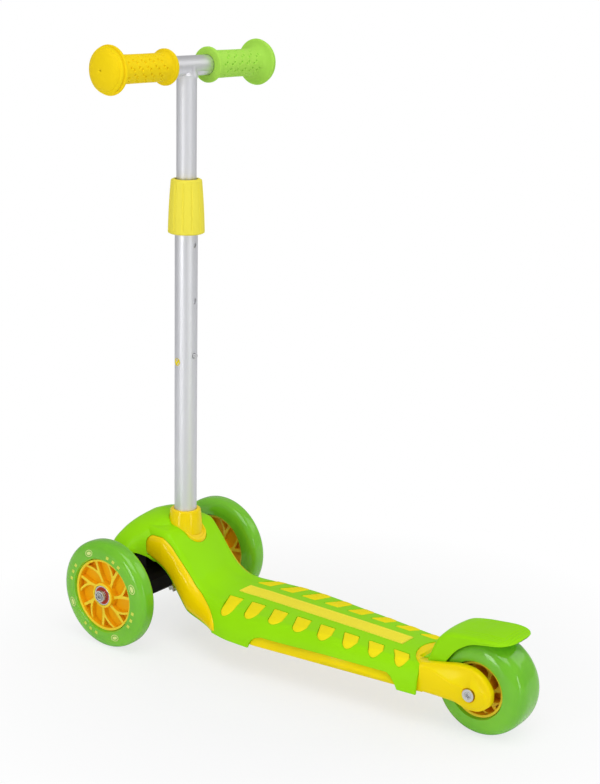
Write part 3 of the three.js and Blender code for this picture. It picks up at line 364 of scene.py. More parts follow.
def walls(count, rings, start=0):
    """Faces between neighbouring rings of count points each."""
    faces = []
    for r in range(rings - 1):
        low = start + r * count
        high = low + count
        for i in range(count):
            j = (i + 1) % count
            faces.append((low + i, low + j, high + j, high + i))
    return faces


def net(lines, count):
    """Faces of an open net of points, given line after line."""
    return [(a, a + 1, a + count + 1, a + count)
            for line in range(lines - 1) for a in range(line * count, (line + 1) * count - 1)]


def loft(name, rings, materials=()):
    """Rings of [x, y, z] points with equal counts, skinned and capped."""
    count = len(rings[0])
    points = [p for ring in rings for p in ring]
    faces = walls(count, len(rings)) + [tuple(range(count)), tuple(range(len(points) - count, len(points)))]
    return mesh_piece(name, points, faces, materials)


def prism_x(name, outline, from_x, to_x):
    """An outline of [y, z] points, from one x to another."""
    return loft(name, [[(x, y, z) for y, z in outline] for x in (from_x, to_x)])


def prism_z(name, outline, from_z, to_z):
    return loft(name, [[(x, y, z) for x, y in outline] for z in (from_z, to_z)])


def rectangle(from_a, to_a, from_b, to_b):
    return [(from_a, from_b), (to_a, from_b), (to_a, to_b), (from_a, to_b)]


def arc(x, y, radius, start, sweep, steps):
    """Points of an arc with both its ends."""
    angles = [start + sweep * i / steps for i in range(steps + 1)]
    return [(x + radius * cos(angle), y + radius * sin(angle)) for angle in angles]


def circle(x, y, radius, sides):
    return arc(x, y, radius, 0, 2 * pi, sides)[:-1]


def round_z(name, radius, from_z, to_z, y, sides=96):
    """A round block about an upright axis on the middle plane."""
    return prism_z(name, circle(0, y, radius, sides), from_z, to_z)


def joined(name, objects):
    """Several separate closed meshes as one object."""
    made = bmesh.new()
    for obj in objects:
        made.from_mesh(obj.data)
        bpy.data.objects.remove(obj)
    mesh = bpy.data.meshes.new(name)
    made.to_mesh(mesh)
    made.free()
    return placed(name, mesh)


def combine(target, operation, *tools):
    """Joins, cuts or trims the target with the tools, which are used up."""
    for tool in tools:
        modifier = target.modifiers.new("combine", "BOOLEAN")
        modifier.object = tool
        modifier.operation = operation
        modifier.solver = "EXACT"
        modifier.material_mode = "TRANSFER"
        graph = bpy.context.evaluated_depsgraph_get()
        mesh = bpy.data.meshes.new_from_object(target.evaluated_get(graph))
        target.modifiers.clear()
        target.data = mesh
        bpy.data.objects.remove(tool)
    return target


# Smooth value between stations given as [place, value, ...]
def slopes(xs, ys):
    steps = [(ys[i + 1] - ys[i]) / (xs[i + 1] - xs[i]) for i in range(len(xs) - 1)]
    found = [steps[0]]
    for before, after in zip(steps, steps[1:]):
        found.append(0.0 if before * after <= 0 else 2 * before * after / (before + after))
    return found + [steps[-1]]


def between(stations, place, column):
    xs = [station[0] for station in stations]
    ys = [station[column] for station in stations]
    if place <= xs[0]:
        return ys[0]
    if place >= xs[-1]:
        return ys[-1]
    rates = slopes(xs, ys)
    i = max(k for k in range(len(xs) - 1) if xs[k] <= place)
    width = xs[i + 1] - xs[i]
    t = (place - xs[i]) / width
    return ((2 * t**3 - 3 * t**2 + 1) * ys[i] + (t**3 - 2 * t**2 + t) * width * rates[i]
            + (3 * t**2 - 2 * t**3) * ys[i + 1] + (t**3 - t**2) * width * rates[i + 1])


def resampled(points, count):
    """Points spread evenly along a smooth curve through the given ones."""
    places = [0.0]
    for a, b in zip(points, points[1:]):
        places.append(places[-1] + dist(a, b))
    tables = [[(s, p[axis]) for s, p in zip(places, points)] for axis in range(len(points[0]))]
    return [tuple(between(table, places[-1] * i / (count - 1), 1) for table in tables) for i in range(count)]


# Body envelope: [y, top, half width of the flat top, half width at the foot]
BODY = [
    [4, 126, 30, 45], [30, 123.5, 30, 44.5], [46, 111.5, 27, 43], [60, 94.5, 23, 43], [75, 77, 22, 45],
    [90, 69, 24, 49], [105, 67, 28, 54], [120, 66.5, 33, 59], [145, 67, 39, 63], [175, 67, 42, 63],
    [260, 67, 37, 53], [COVER_END, 66, 30, 42],
]
BODY_FRONT = 4.0
NECK_END = 75
NECK_EASE = 65
TOP_CROWN = 2.0


def body_values(y):
    along = unit((y - NECK_END) / NECK_EASE)
    return [between(BODY, y, column) for column in (1, 2, 3)] + [mix(0.5, 1.0, along)]


def body_section(y, inset, foot, steps=22):
    top, flat, wide, power = body_values(y)
    top -= inset
    wide -= inset
    shoulder = top - TOP_CROWN - DECK_FOOT
    right = [(wide, foot)]
    for i in range(steps, -1, -1):
        angle = pi / 2 * i / steps
        right.append((flat + (wide - flat) * sin(angle)**power,
                      DECK_FOOT + shoulder * max(0.0, cos(angle))**power))
    for i in range(5, 0, -1):
        right.append((flat * i / 6, top - TOP_CROWN * (i / 6)**2))
    ring = [(0.0, top)] + right[::-1] + [(-x, z) for x, z in right]
    return [(x, y, z) for x, z in ring]


def body_loft(name, inset, foot, from_y=BODY_FRONT, to_y=COVER_END, step=3.0):
    count = max(2, ceil((to_y - from_y) / step))
    return loft(name, [body_section(mix(from_y, to_y, i / count), inset, foot) for i in range(count + 1)])


def body_top(x, y):
    """Height of the body's surface over a point of the deck."""
    top, flat, wide, power = body_values(y)
    across = abs(x)
    if across <= flat:
        return top - TOP_CROWN * (across / flat)**2
    angle = asin(min(1.0, ((across - flat) / (wide - flat))**(1 / power)))
    return DECK_FOOT + (top - TOP_CROWN - DECK_FOOT) * max(0.0, cos(angle))**power


def body_side(y, z):
    """Half width of the body at a height."""
    top, flat, wide, power = body_values(y)
    share = unit((z - DECK_FOOT) / (top - TOP_CROWN - DECK_FOOT))
    angle = acos(share**(1 / power))
    return flat + (wide - flat) * sin(angle)**power


# Hood across the scooter: [x, crest, front, rear, lower edge]
HOOD_HALF = 68
HOOD = [
    [0, 132.5, -41, 44, 66], [18, 130, -41, 42, 67], [34, 125, -38, 30, 76], [46, 118.5, -33, 16, 90],
    [56, 112.5, -29, 6, 96], [64, 107, -24, 3, 99], [HOOD_HALF, 103, -19, 0, 101],
]


def hood_loft(name, inset, drop, steps=36):
    rings = []
    columns = 68
    for column in range(columns + 1):
        x = mix(-HOOD_HALF, HOOD_HALF, column / columns)
        crest, front, rear, low = [between(HOOD, abs(x), measure) for measure in (1, 2, 3, 4)]
        ring = []
        for i in range(steps + 1):
            angle = pi * i / steps
            along = copysign(abs(cos(angle))**0.8, cos(angle))
            ring.append(((front + rear) / 2 + ((rear - front) / 2 - inset) * along,
                         low + (crest - inset - low) * max(0.0, sin(angle))**0.8))
        if drop > 0:
            ring += [(ring[steps][0], low - drop), (ring[0][0], low - drop)]
        shrunk = x - copysign(inset * abs(x) / HOOD_HALF, x)
        rings.append([(shrunk, y, z) for y, z in ring])
    return loft(name, rings)


# Side band and wheel arch, drawn as [y, z] points seen from the side
BAND_LOWER = [[6, 95], [19, 90.2], [28, 86.5], [34, 83], [42.6, 74.4], [50, 64.6], [57.3, 55], [63, 47.5],
              [69, 42.5], [78, 40.5], [92, 39.5], [106, 38.5], [115, 36.5]]
BAND_UPPER = [[120, 37.5], [119, 43], [114.6, 49.7], [105, 56.5], [90, 63.3], [77.3, 70.6], [62, 85.6],
              [48.7, 100], [37.4, 111], [28, 115.5], [17, 115.5], [9, 111.5], [5, 103.5]]


def band_grid(side, proud, sink, spread=0.0, columns=72, rows=15):
    """A closed pillow between the band's two edges, swelling outwards from the body's side."""
    low = resampled(BAND_LOWER, columns)
    high = resampled(BAND_UPPER[::-1], columns)
    front = []
    back = []
    for (y0, z0), (y1, z1), i in zip(low, high, range(columns)):
        end = min(1.0, min(i, columns - 1 - i) / 7)
        for k in range(rows):
            v = mix(-spread, 1 + spread, k / (rows - 1))
            y, z = mix(y0, y1, v), mix(z0, z1, v)
            swell = max(0.0, 1 - abs(2 * k / (rows - 1) - 1)**3) ** 0.5 * max(0.15, 1 - (1 - end)**2)**0.5
            x = body_side(min(119.5, max(BODY_FRONT, y)), z)
            front.append((side * (x + mix(-sink, proud, swell)), y, z))
            back.append((side * (x - sink - 0.4), y, z))
    points = front + back
    total = columns * rows
    faces = []
    for quad in net(columns, rows):
        faces += [quad, tuple(total + p for p in reversed(quad))]
    rim = [i * rows for i in range(columns)] + [(columns - 1) * rows + k for k in range(1, rows)]
    rim += [i * rows + rows - 1 for i in range(columns - 2, -1, -1)] + [k for k in range(rows - 2, 0, -1)]
    for a, b in zip(rim, rim[1:] + rim[:1]):
        faces.append((a, b, total + b, total + a))
    return points, faces


# Stem bib: a coned rim round the stem and a shield that lies on the hood and the neck's front
RIM_RADIUS = 17.0
RIM_FOOT_RADIUS = 19.5
RIM_FOOT = 113.0
RIM_TOP = 139.0
SOCKET_TOP = 119.0
SHIELD_START = [18.0, 22.0]
SHIELD_WAIST = [14.5, 42.0]
SHIELD_TIP = 51.5


def skin(name, inset):
    """The outer form of the neck and the hood, moved inwards."""
    return combine(body_loft(name, inset, BELOW), "UNION", hood_loft("skin_hood", inset, 12))


def shield_outline(shrink):
    """The shield seen from above, as [x, y] points."""
    half, start = SHIELD_START
    waist, waist_y = SHIELD_WAIST
    outline = [(half - shrink, start), (waist - shrink, waist_y)]
    for i in range(1, 32):
        angle = pi * i / 32
        outline.append(((waist - shrink) * cos(angle),
                        waist_y + (SHIELD_TIP - shrink - waist_y) * sin(angle)))
    return outline + [(shrink - waist, waist_y), (shrink - half, start)]


def bib_blank(name, grow):
    tongue = combine(skin(name, -1.3 - grow * 2), "DIFFERENCE", skin("under", 1.1 + grow))
    combine(tongue, "INTERSECT", prism_z("plan", shield_outline(-grow), 60, 160))
    rim = [[ON_AXIS, RIM_FOOT - grow], [RIM_FOOT_RADIUS + grow, RIM_FOOT - grow],
           [RIM_RADIUS + grow, RIM_TOP - 2], [RIM_RADIUS + grow - 0.6, RIM_TOP - 0.6],
           [RIM_RADIUS - 2 + grow, RIM_TOP], [ON_AXIS, RIM_TOP + 0.5]]

    def place(radius, height, angle):
        return (radius * cos(angle), STEM_Y + radius * sin(angle), height)

    return combine(tongue, "UNION", lathe("rim", rim, 96, place))


# Windows of the deck: each narrows outwards to a round end and sweeps back
WINDOW_COUNT = 8
WINDOW_FIRST = 122
WINDOW_LAST = 335.6
WINDOW_HALF = 9.7
WINDOW_INNER = 22.5
WINDOW_TIP_FIRST = 54.5
WINDOW_TIP_LAST = 40
TIP_RADIUS = 8.2
STRIP_HALF = 10.0
STRIP_FRONT = 114.0
STRIP_BACK = 327.0


def window_outline(index, side, shrink, corner=1.6):
    share = index / (WINDOW_COUNT - 1)
    y = mix(WINDOW_FIRST, WINDOW_LAST, share)
    half = WINDOW_HALF - shrink
    inner = WINDOW_INNER + shrink
    outline = arc(inner + corner, y - half + corner, corner, pi, pi / 2, 6)
    tip = mix(WINDOW_TIP_FIRST, WINDOW_TIP_LAST, share) - TIP_RADIUS
    sweep = mix(7, 6, share)
    for i in range(17):
        angle = pi * mix(-0.4, 0.57, i / 16)
        outline.append((tip + (TIP_RADIUS - shrink) * cos(angle),
                        y + sweep + (TIP_RADIUS - shrink) * sin(angle)))
    outline += arc(inner + corner, y + half - corner, corner, pi / 2, pi / 2, 6)
    return [(side * x, y) for x, y in outline]


def deck_cover():
    outer = body_loft("deck_shell", 0, DECK_FOOT)
    arch = [(BODY_FRONT - 4, BELOW), (BODY_FRONT - 4, 90)]
    arch += [(y, z - 1.2) for y, z in resampled(BAND_LOWER, 40)] + [(115, BELOW)]
    combine(outer, "DIFFERENCE", prism_x("arch", arch, -FAR, FAR))
    combine(outer, "UNION", hood_loft("hood", 0, 0))
    inner = body_loft("inner", COVER_WALL, BELOW, BODY_FRONT + COVER_WALL, COVER_END + 4)
    combine(inner, "UNION", hood_loft("inner_hood", COVER_WALL, 12))
    skirt = [(167, BELOW), (168, 32), (170, 38.5), (172.5, 43), (177, 46.6), (185, 49), (331, 49), (336, 46),
             (341, 40), (344, 34), (348, BELOW)]
    seat = combine(body_loft("seat", -4, BELOW, 100, 340),
                   "DIFFERENCE", body_loft("seat_floor", 1.5, BELOW - 4, 96, 344))
    slot = rectangle(-STRIP_HALF - FIT, STRIP_HALF + FIT, STRIP_FRONT - FIT, STRIP_BACK + FIT)
    combine(seat, "INTERSECT", prism_z("slot", slot, 40, 100))
    windows = [prism_z("window", window_outline(index, side, 0), 38, 110)
               for index in range(WINDOW_COUNT) for side in (-1, 1)]
    bands = [mesh_piece("band_room", *band_grid(side, 5, 1.3, spread=0.03)) for side in (-1, 1)]
    combine(outer, "DIFFERENCE", inner, prism_x("skirt", skirt, -FAR, FAR), seat, joined("windows", windows),
            joined("band_rooms", bands), bib_blank("bib_room", FIT),
            round_z("arc_room", ARC_RADIUS, BELOW, 100, ARC_MIDDLE, 160),
            round_z("socket_room", SOCKET_ROOM, BELOW, SOCKET_TOP + 0.6, STEM_Y))
    install(painted(outer, body_green), "frame", ["deck_cover"], angle=30)


deck_cover()


def side_bands():
    for word, side in HANDS:
        grid = band_grid(side, 2.2, 0.7, columns=120, rows=31)
        band = mesh_piece(f"band_{word}", *grid, [trim_yellow])
        install(band, "frame", [f"side_trim_{word}"], angle=50)


def stem_bib():
    bib = bib_blank("stem_bib", 0)
    border = combine(skin("border", -2.1), "DIFFERENCE", skin("border_floor", 0))
    combine(border, "INTERSECT", combine(prism_z("edge", shield_outline(0), 60, 160), "DIFFERENCE",
                                         prism_z("field", shield_outline(2.4), 50, 170)))
    combine(bib, "UNION", border)
    combine(bib, "DIFFERENCE", round_z("clear", SOCKET_ROOM, 80, SOCKET_TOP + FIT, STEM_Y),
            round_z("bore", TUBE_ROOM, 80, RIM_TOP + 4, STEM_Y))
    install(painted(bib, trim_yellow), "frame", ["stem_collar"], angle=40)


# Soft pads that rise through the windows, each a low pillow
def pads():
    points = []
    faces = []
    levels = [(0.3, 5.5, 1), (0.3, 1.1, 1), (0.5, 0.55, 1), (0.9, 0.15, 1), (1.6, -0.15, 1), (2.8, -0.35, 1),
              (2.8, -0.5, 0.7), (2.8, -0.6, 0.35), (2.8, -0.62, 0.1)]
    for index in range(WINDOW_COUNT):
        for side in (-1, 1):
            start = len(points)
            for shrink, drop, share in levels:
                outline = window_outline(index, side, shrink, corner=max(0.4, 1.6 - shrink * 0.3))
                count = len(outline)
                middle = [sum(p[axis] for p in outline) / count for axis in (0, 1)]
                ring = [(mix(middle[0], x, share), mix(middle[1], y, share)) for x, y in outline]
                points += [(x, y, body_top(x, y) - drop) for x, y in ring]
            faces += walls(count, len(levels), start)
            faces += [tuple(range(start, start + count)), tuple(range(len(points) - count, len(points)))]
    pillows = mesh_piece("pads", points, faces)
    plate = body_loft("pad_plate", COVER_WALL + FIT, BELOW, 106, 344)
    combine(plate, "INTERSECT", prism_z("plate_room", rectangle(-FAR, FAR, 106, 344), 58.3, 61))
    combine(plate, "UNION", pillows)
    install(painted(plate, pad_yellow), "frame", ["deck_pad_insert"], angle=45)


# Centre strip: a raised border round a field of fine studs
def strip():
    border = 1.5
    step = 0.5
    floor_level = 65.8
    stud_pitch = 2.4
    border_height, field_height, stud_height = 0.9, 0.25, 0.35
    columns = round(2 * STRIP_HALF / step)
    rows = round((STRIP_BACK - STRIP_FRONT) / step)

    def from_edge(x, y):
        return min(STRIP_HALF - abs(x), y - STRIP_FRONT, STRIP_BACK - y)

    points = []
    for r in range(rows + 1):
        y = STRIP_FRONT + r * step
        for c in range(columns + 1):
            x = -STRIP_HALF + c * step
            edge = from_edge(x, y)
            stud = max(0.0, cos(pi * (x + y) / stud_pitch) * cos(pi * (x - y) / stud_pitch))
            height = border_height if edge < border else field_height + stud_height * stud
            if edge < step / 2:
                height = 0.55
            points.append((x, y, body_top(x, y) + height))
    width = columns + 1
    faces = net(rows + 1, width)
    kinds = [int(from_edge(-STRIP_HALF + (c + 0.5) * step, STRIP_FRONT + (r + 0.5) * step) < border)
             for r in range(rows) for c in range(columns)]
    base = len(points)
    corners = rectangle(-STRIP_HALF, STRIP_HALF, STRIP_FRONT, STRIP_BACK)
    points += [(x, y, floor_level) for x, y in corners]
    rim = [list(range(width)), [r * width + columns for r in range(rows + 1)],
           [rows * width + c for c in range(columns, -1, -1)], [r * width for r in range(rows, -1, -1)]]
    for k, line in enumerate(rim):
        faces.append(tuple(line[::-1] + [base + k, base + (k + 1) % 4]))
        kinds.append(1)
    faces.append((base, base + 3, base + 2, base + 1))
    kinds.append(0)
    field = mesh_piece("deck_strip", points, faces, [strip_yellow, strip_edge], kinds)
    install(field, "frame", ["center_strip"], angle=60)


# Fender brake: [station, top y, top z, lower edge y, lower edge z, half width]
FENDER = [
    [0, 366, 68.4, 367.8, 66.4, 26.5], [1, 366.8, 72.5, 378, 68.2, 26.7], [2, 368.8, 79, 386.5, 69.4, 27],
    [3, 371.8, 86, 391.3, 75.4, 27.2], [4, 375.8, 93, 396, 82, 27.4], [5, 380.8, 98.2, 402, 88.4, 27.6],
    [6, 388, 101.8, 408, 92.8, 27.8], [7, 397, 103.9, 414, 96.4, 28], [8, 406, 105.4, 419.5, 98.6, 28.2],
    [9, 415, 106.6, 425, 100, 28.4], [10, 423, 107.6, 431, 101.2, 28.4], [11, 431, 108.3, 437, 102.2, 28.4],
    [12, 437.5, 108.6, 442, 103, 28], [13, 443.5, 108.7, 446.5, 103.6, 26.8],
    [14, 449, 108.7, 450.8, 104.2, 24.2], [15, 453.4, 108.4, 454.2, 104.8, 20.2],
    [16, 456.8, 108, 457, 105.4, 14.4], [17, 458.6, 107.3, 458.4, 106, 6.6],
]
FENDER_TAIL = 458.6
FENDER_HALF = 28.4
FENDER_CROWN = 2.2
PEDAL_START = 7.6
GROOVE_MARGINS = (5.0, 8.2, 11.4)
GROOVE_DEPTH = 0.6
GROOVE_HALF = 0.8


def fender():
    across = 49
    per_station = 8
    rings = []
    for i in range(FENDER[-1][0] * per_station + 1):
        place = i / per_station
        top_y, top_z, low_y, low_z, wide = [between(FENDER, place, column) for column in range(1, 6)]
        drop = hypot(low_y - top_y, low_z - top_z)
        down = ((low_y - top_y) / drop, (low_z - top_z) / drop)
        corner = min(6.0, drop * 0.55, wide * 0.5)
        wall = min(2.4, drop * 0.35)
        roof = min(3.2, drop * 0.5)
        flat = wide - corner

        def ring_point(x, depth):
            return (x, top_y + down[0] * depth, top_z + down[1] * depth)

        edge = [(wide, drop)] + arc(flat, corner, corner, 0, -pi / 2, 8)
        outer = edge + [(flat * (1 - 2 * k / across), 0.0) for k in range(1, across)]
        outer += [(-x, depth) for x, depth in reversed(edge)]
        shaped = []
        for x, depth in outer:
            crown = FENDER_CROWN * (x / wide)**2 * max(0.0, 1 - depth / drop)
            groove = 0.0
            if place > PEDAL_START and depth < 0.2:
                margin = min(FENDER_HALF - abs(x), (FENDER_TAIL - top_y) * 0.9)
                for line in GROOVE_MARGINS:
                    groove += GROOVE_DEPTH * hump((margin - line) / GROOVE_HALF)
            shaped.append(ring_point(x, depth + crown + groove))
        inner = [(-wide + wall, drop), (-wide + wall, roof + 2.5), (-wide + wall + 3, roof + 0.6)]
        inner += [(mix(-wide + wall + 4, wide - wall - 4, k / 12), roof + 0.4) for k in range(13)]
        inner += [(wide - wall - 3, roof + 0.6), (wide - wall, roof + 2.5), (wide - wall, drop)]
        rings.append(shaped + [ring_point(x, min(drop, depth)) for x, depth in inner])
    shell = loft("fender", rings)
    foot = [(359, 64.4), (359.4, 58.4), (364, 57.9), (371.8, 66), (374, 71), (370.5, 73), (367.5, 69)]
    root = combine(prism_x("foot", foot, -20, 20), "UNION", rod_x("barrel", 5, -20, 20, 48, HINGE))
    combine(root, "DIFFERENCE", prism_x("bay", rectangle(351, 367, 50, 68.4), -7, 7),
            rod_x("pin_room", 2.5, -30, 30, 32, HINGE))
    combine(shell, "UNION", root)
    install(painted(shell, fender_green), "brake", ["fender_brake"], angle=48)


side_bands()
stem_bib()
pads()
strip()
fender()


# Rear fork: smooth arms with a raised lower field, a crescent root, and the frame's own front
ARM = [[358, 36], [358, 65], [370, 68], [381, 70.5], [392, 73], [404, 76], [414, 77], [424, 76],
       [433, 72], [441, 64.5], [445.5, 55], [445, 46], [439, 39], [431, 34.5], [422, 33.5], [413, 35],
       [404, 37], [393, 37], [358, 36]]
ARM_FIELD = [[356.7, 37.4], [356.7, 61.7], [368, 63.6], [379, 63.6], [391, 60], [403, 57], [417, 56.4],
             [430, 57.2], [438, 56], [441, 50], [440, 45], [435, 40], [427, 37], [418, 36.5], [408, 38.6],
             [393, 39], [375, 38.2], [356.7, 37.4]]
ARM_LEVELS = [(28, 0.5), (28.6, 0), (34.2, 0), (35.2, 0.35), (35.8, 1.0), (36, 1.9)]
FIELD_LEVELS = [(33.1, 0), (36, 0), (36.6, 0.4), (37.0, 1.2)]
FORK_START = 349.5
RECESS_FLOOR = 34


def inset(points, distance):
    """A closed outline moved inwards."""
    moved = []
    count = len(points)
    area = sum(points[i][0] * points[(i + 1) % count][1] - points[(i + 1) % count][0] * points[i][1]
               for i in range(count))
    turn = 1 if area > 0 else -1
    for i, (y, z) in enumerate(points):
        before, after = points[i - 1], points[(i + 1) % count]
        dy, dz = after[0] - before[0], after[1] - before[1]
        length = hypot(dy, dz) or 1.0
        moved.append((y - turn * dz / length * distance, z + turn * dy / length * distance))
    return moved


def bulged(name, outline, levels, side):
    """A plate across X whose faces are [x, inset] levels of one outline."""
    return loft(name, [[(side * x, y, z) for y, z in inset(outline, distance)] for x, distance in levels])


def chassis_front():
    """The frame's own chassis without its fork, cut clear of the neck's cover."""
    front = placed("chassis_body", nodes["chassis"].data.copy())
    weld(front.data)
    combine(front, "DIFFERENCE", prism_z("cutoff", rectangle(-FAR, FAR, FORK_START, 470), 0, 100))
    shave = prism_z("shave", rectangle(-FAR, FAR, 34, 150), 50, 150)
    combine(shave, "DIFFERENCE", body_loft("neck_room", COVER_WALL + FIT, BELOW),
            hood_loft("hood_room", COVER_WALL + FIT, 12), round_z("socket", 17, 40, 150, STEM_Y))
    return combine(front, "DIFFERENCE", shave)


def fork_root():
    """The block that the arms grow from, with rounded upper edges."""
    corner = 4.0
    rings = []
    for i in range(21):
        y = mix(349.4, 369, i / 20)
        wide = mix(38.6, 36.4, unit((y - 357) / 11))
        top = 65.5 if y < 360 else mix(65.5, 67.2, (y - 360) / 9)
        half = [(wide, 36.5), (wide, top - corner)]
        half += arc(wide - corner, top - corner, corner, 0, pi / 2, 8)[1:]
        rings.append([(x, y, z) for x, z in half] + [(-x, y, z) for x, z in reversed(half)])
    return loft("fork_root", rings)


def rear_fork():
    root = fork_root()
    outline = resampled(ARM, 120)[:-1]
    field = resampled(ARM_FIELD, 110)[:-1]
    pieces = [combine(round_z("disc", ARC_RADIUS - FIT, 50, 90, ARC_MIDDLE, 160), "INTERSECT",
                      body_loft("crescent_room", 0.5, BELOW, 342, 369, step=1.5))]
    for side in (-1, 1):
        pieces += [bulged("arm", outline, ARM_LEVELS, side), bulged("arm_field", field, FIELD_LEVELS, side)]
    combine(root, "UNION", *pieces)
    rear_shell = prism_z("rear_shell", rectangle(-FAR, FAR, 340, COVER_END + FIT), 20, 100)
    combine(rear_shell, "DIFFERENCE", body_loft("under_shell", COVER_WALL + FIT, 10, 336, COVER_END + 4),
            round_z("arc", ARC_RADIUS - FIT / 2, 10, 110, ARC_MIDDLE, 160))
    combine(root, "DIFFERENCE", rear_shell)
    pocket = rectangle(HINGE[1] - 7.5, 372, HINGE[2] - 7, 90)
    tools = [prism_x("pocket", pocket, -21, 21), rod_x("pin_bore", 2.4, -26.6, 26.6, 32, HINGE),
             rod_x("axle_bore", 4.0, -60, 60, 40, REAR_AXLE)]
    recess = [[ON_AXIS, RECESS_FLOOR], [6.4, RECESS_FLOOR], [6.8, 36.3], [7.8, 37.2], [7.8, 45],
              [ON_AXIS, 45]]
    for side in (-1, 1):
        tools.append(lathe_x("recess", [[r, side * x] for r, x in recess], 64, REAR_AXLE))
    combine(root, "DIFFERENCE", *tools)
    fork = combine(chassis_front(), "UNION", root)
    painted(fork, chassis_yellow, recess_shade_orange)
    hub = at(REAR_AXLE)
    # Faces inside the axle recess get the darker orange: painted shade.
    for polygon in fork.data.polygons:
        offset = polygon.center - hub
        if offset.yz.length < 7.9 * MM and abs(offset.x) > 33.4 * MM:
            polygon.material_index = 1
    install(fork, "frame", ["chassis"], angle=38)


rear_fork()


# Wheels: clear tyre, ribbed core, sealed bearings
SPOKES = 7
WEB_SHARE = 0.2
BEARING_RADIUS = 11.0
BEARING_WIDTH = 7
BEARING_SUNK = 0.3


def tyre_profile(radius, width, core_radius, core_width, steps=44):
    half = width / 2
    seat = core_radius + FIT
    profile = [[seat, -core_width / 2], [seat, core_width / 2]]
    for i in range(steps + 1):
        angle = pi * i / steps
        rise = max(0.0, sin(angle))**0.75
        side = copysign(abs(cos(angle))**0.6, cos(angle))
        profile.append([mix(seat + 1.2, radius, rise), half * side])
    return profile


def tyre_side(radius, width, core_radius, at_radius):
    """Distance of the tyre's side from its middle plane at a radius."""
    seat = core_radius + FIT + 1.2
    rise = unit((at_radius - seat) / (radius - seat))
    cosine = sqrt(max(0.0, 1 - (rise**(1 / 0.75))**2))
    return width / 2 * cosine**0.6


def spoke_openings(rim_inner, hub_outer, steps=10):
    """Outlines between the forked spokes, as points round the hub."""
    openings = []
    pitch = 2 * pi / SPOKES
    arm = pitch / 4
    fork = mix(hub_outer, rim_inner, 0.35)
    half_spoke = 1.7

    def sweep(r):
        return 0.35 * (r - hub_outer) / (rim_inner - hub_outer)

    def spread(r):
        return arm * max(0.0, (r - fork) / (rim_inner - fork))

    def place(r, angle):
        return (r * cos(angle), r * sin(angle))

    def add(from_radius, edges):
        """An opening from a radius to the rim; edges gives its two sides' angles at a radius."""
        low = []
        high = []
        for i in range(steps + 1):
            r = mix(from_radius, rim_inner, i / steps)
            low.append(place(r, edges(r)[0]))
            high.append(place(r, edges(r)[1]))
        start, end = edges(rim_inner)
        rim = [place(rim_inner, mix(start, end, i / steps)) for i in range(1, steps)]
        openings.append(low + rim + high[::-1])

    for k in range(SPOKES):
        centre = k * pitch

        def inside_fork(r):
            gap = max(0.02, spread(r) - half_spoke / r)
            return centre + sweep(r) - gap, centre + sweep(r) + gap

        def between_spokes(r):
            half = half_spoke / r
            return centre + sweep(r) + spread(r) + half, centre + pitch + sweep(r) - spread(r) - half

        add(fork + half_spoke * 3.2, inside_fork)
        add(hub_outer + 0.6, between_spokes)
    return openings


def wheel_core(name, centre, radius, width, hub_width):
    rim_inner = radius - 2.6
    hub_outer = BEARING_RADIUS + FIT + 2.4
    half = width / 2
    depth = width * 0.72 / 2
    web = depth * WEB_SHARE
    core = rod_x(name, radius - 0.4, -depth, depth, 140, centre)
    holes = []
    for opening in spoke_openings(rim_inner, hub_outer):
        outline = [(centre[1] + a, centre[2] + b) for a, b in opening]
        for side in (-1, 1):
            holes.append(prism_x("opening", outline, centre[0] + side * web, centre[0] + side * FAR))
    for k in range(SPOKES):
        turn = (k + 0.72) * 2 * pi / SPOKES
        light = circle(centre[1] + (rim_inner - 3.6) * cos(turn),
                       centre[2] + (rim_inner - 3.6) * sin(turn), 1.7, 24)
        holes.append(prism_x("light_hole", light, centre[0] - web - 0.5, centre[0] + web + 0.5))
    combine(core, "DIFFERENCE", joined("openings", holes))
    lip = rim_inner + 0.1
    rim = mirrored([[lip, half - 0.7], [rim_inner + 0.8, half], [radius, half]])
    rim += [[lip, depth - 0.4], [lip, 0.4 - depth]]
    face = hub_width / 2
    hub = mirrored([[ON_AXIS, face], [hub_outer - 0.6, face], [hub_outer, face - 0.6]])
    combine(core, "UNION", lathe_x("rim", rim, 140, centre), lathe_x("hub", hub, 96, centre))
    room = BEARING_RADIUS + FIT
    seat = face - BEARING_SUNK - BEARING_WIDTH - FIT
    bore = mirrored([[ON_AXIS, face + 4], [room, face + 4], [room, seat], [7, seat]])
    combine(core, "DIFFERENCE", lathe_x("bore", bore, 96, centre))
    painted(core, core_face, recess_shade_orange)
    middle = at(centre)
    # Walls of the spoke openings and the floor between the spokes get the darker orange: painted shade.
    for polygon in core.data.polygons:
        reach = (polygon.center - middle).yz.length / MM
        floor_level = abs(polygon.center.x - middle.x) / MM < web + 0.3
        if hub_outer - 0.2 < reach < rim_inner + 0.4 and (abs(polygon.normal.x) < 0.5 or floor_level):
            polygon.material_index = 1
    return core


def bearing(name, centre, outward):
    """A sealed bearing, drawn as [radius, depth under its outer face]."""
    race = 6.0
    seal = 9.6
    half = BEARING_WIDTH / 2
    outer = BEARING_RADIUS
    profile = [[4, 2 * half], [4, 0.3], [4.3, 0], [race - 0.2, 0], [race, 0.2], [race, 0.5],
               [race + 0.5, 0.4], [seal - 0.5, 0.35], [seal, 0.55], [seal, 0.2], [seal + 0.2, 0],
               [outer - 0.3, 0], [outer, 0.3], [outer, 2 * half]]
    kinds = [0] * 5 + [1] * 3 + [0] * 6
    return lathe_x(name, [[r, outward * (half - depth)] for r, depth in profile], 64, centre,
                   [race_steel, seal_red], kinds)


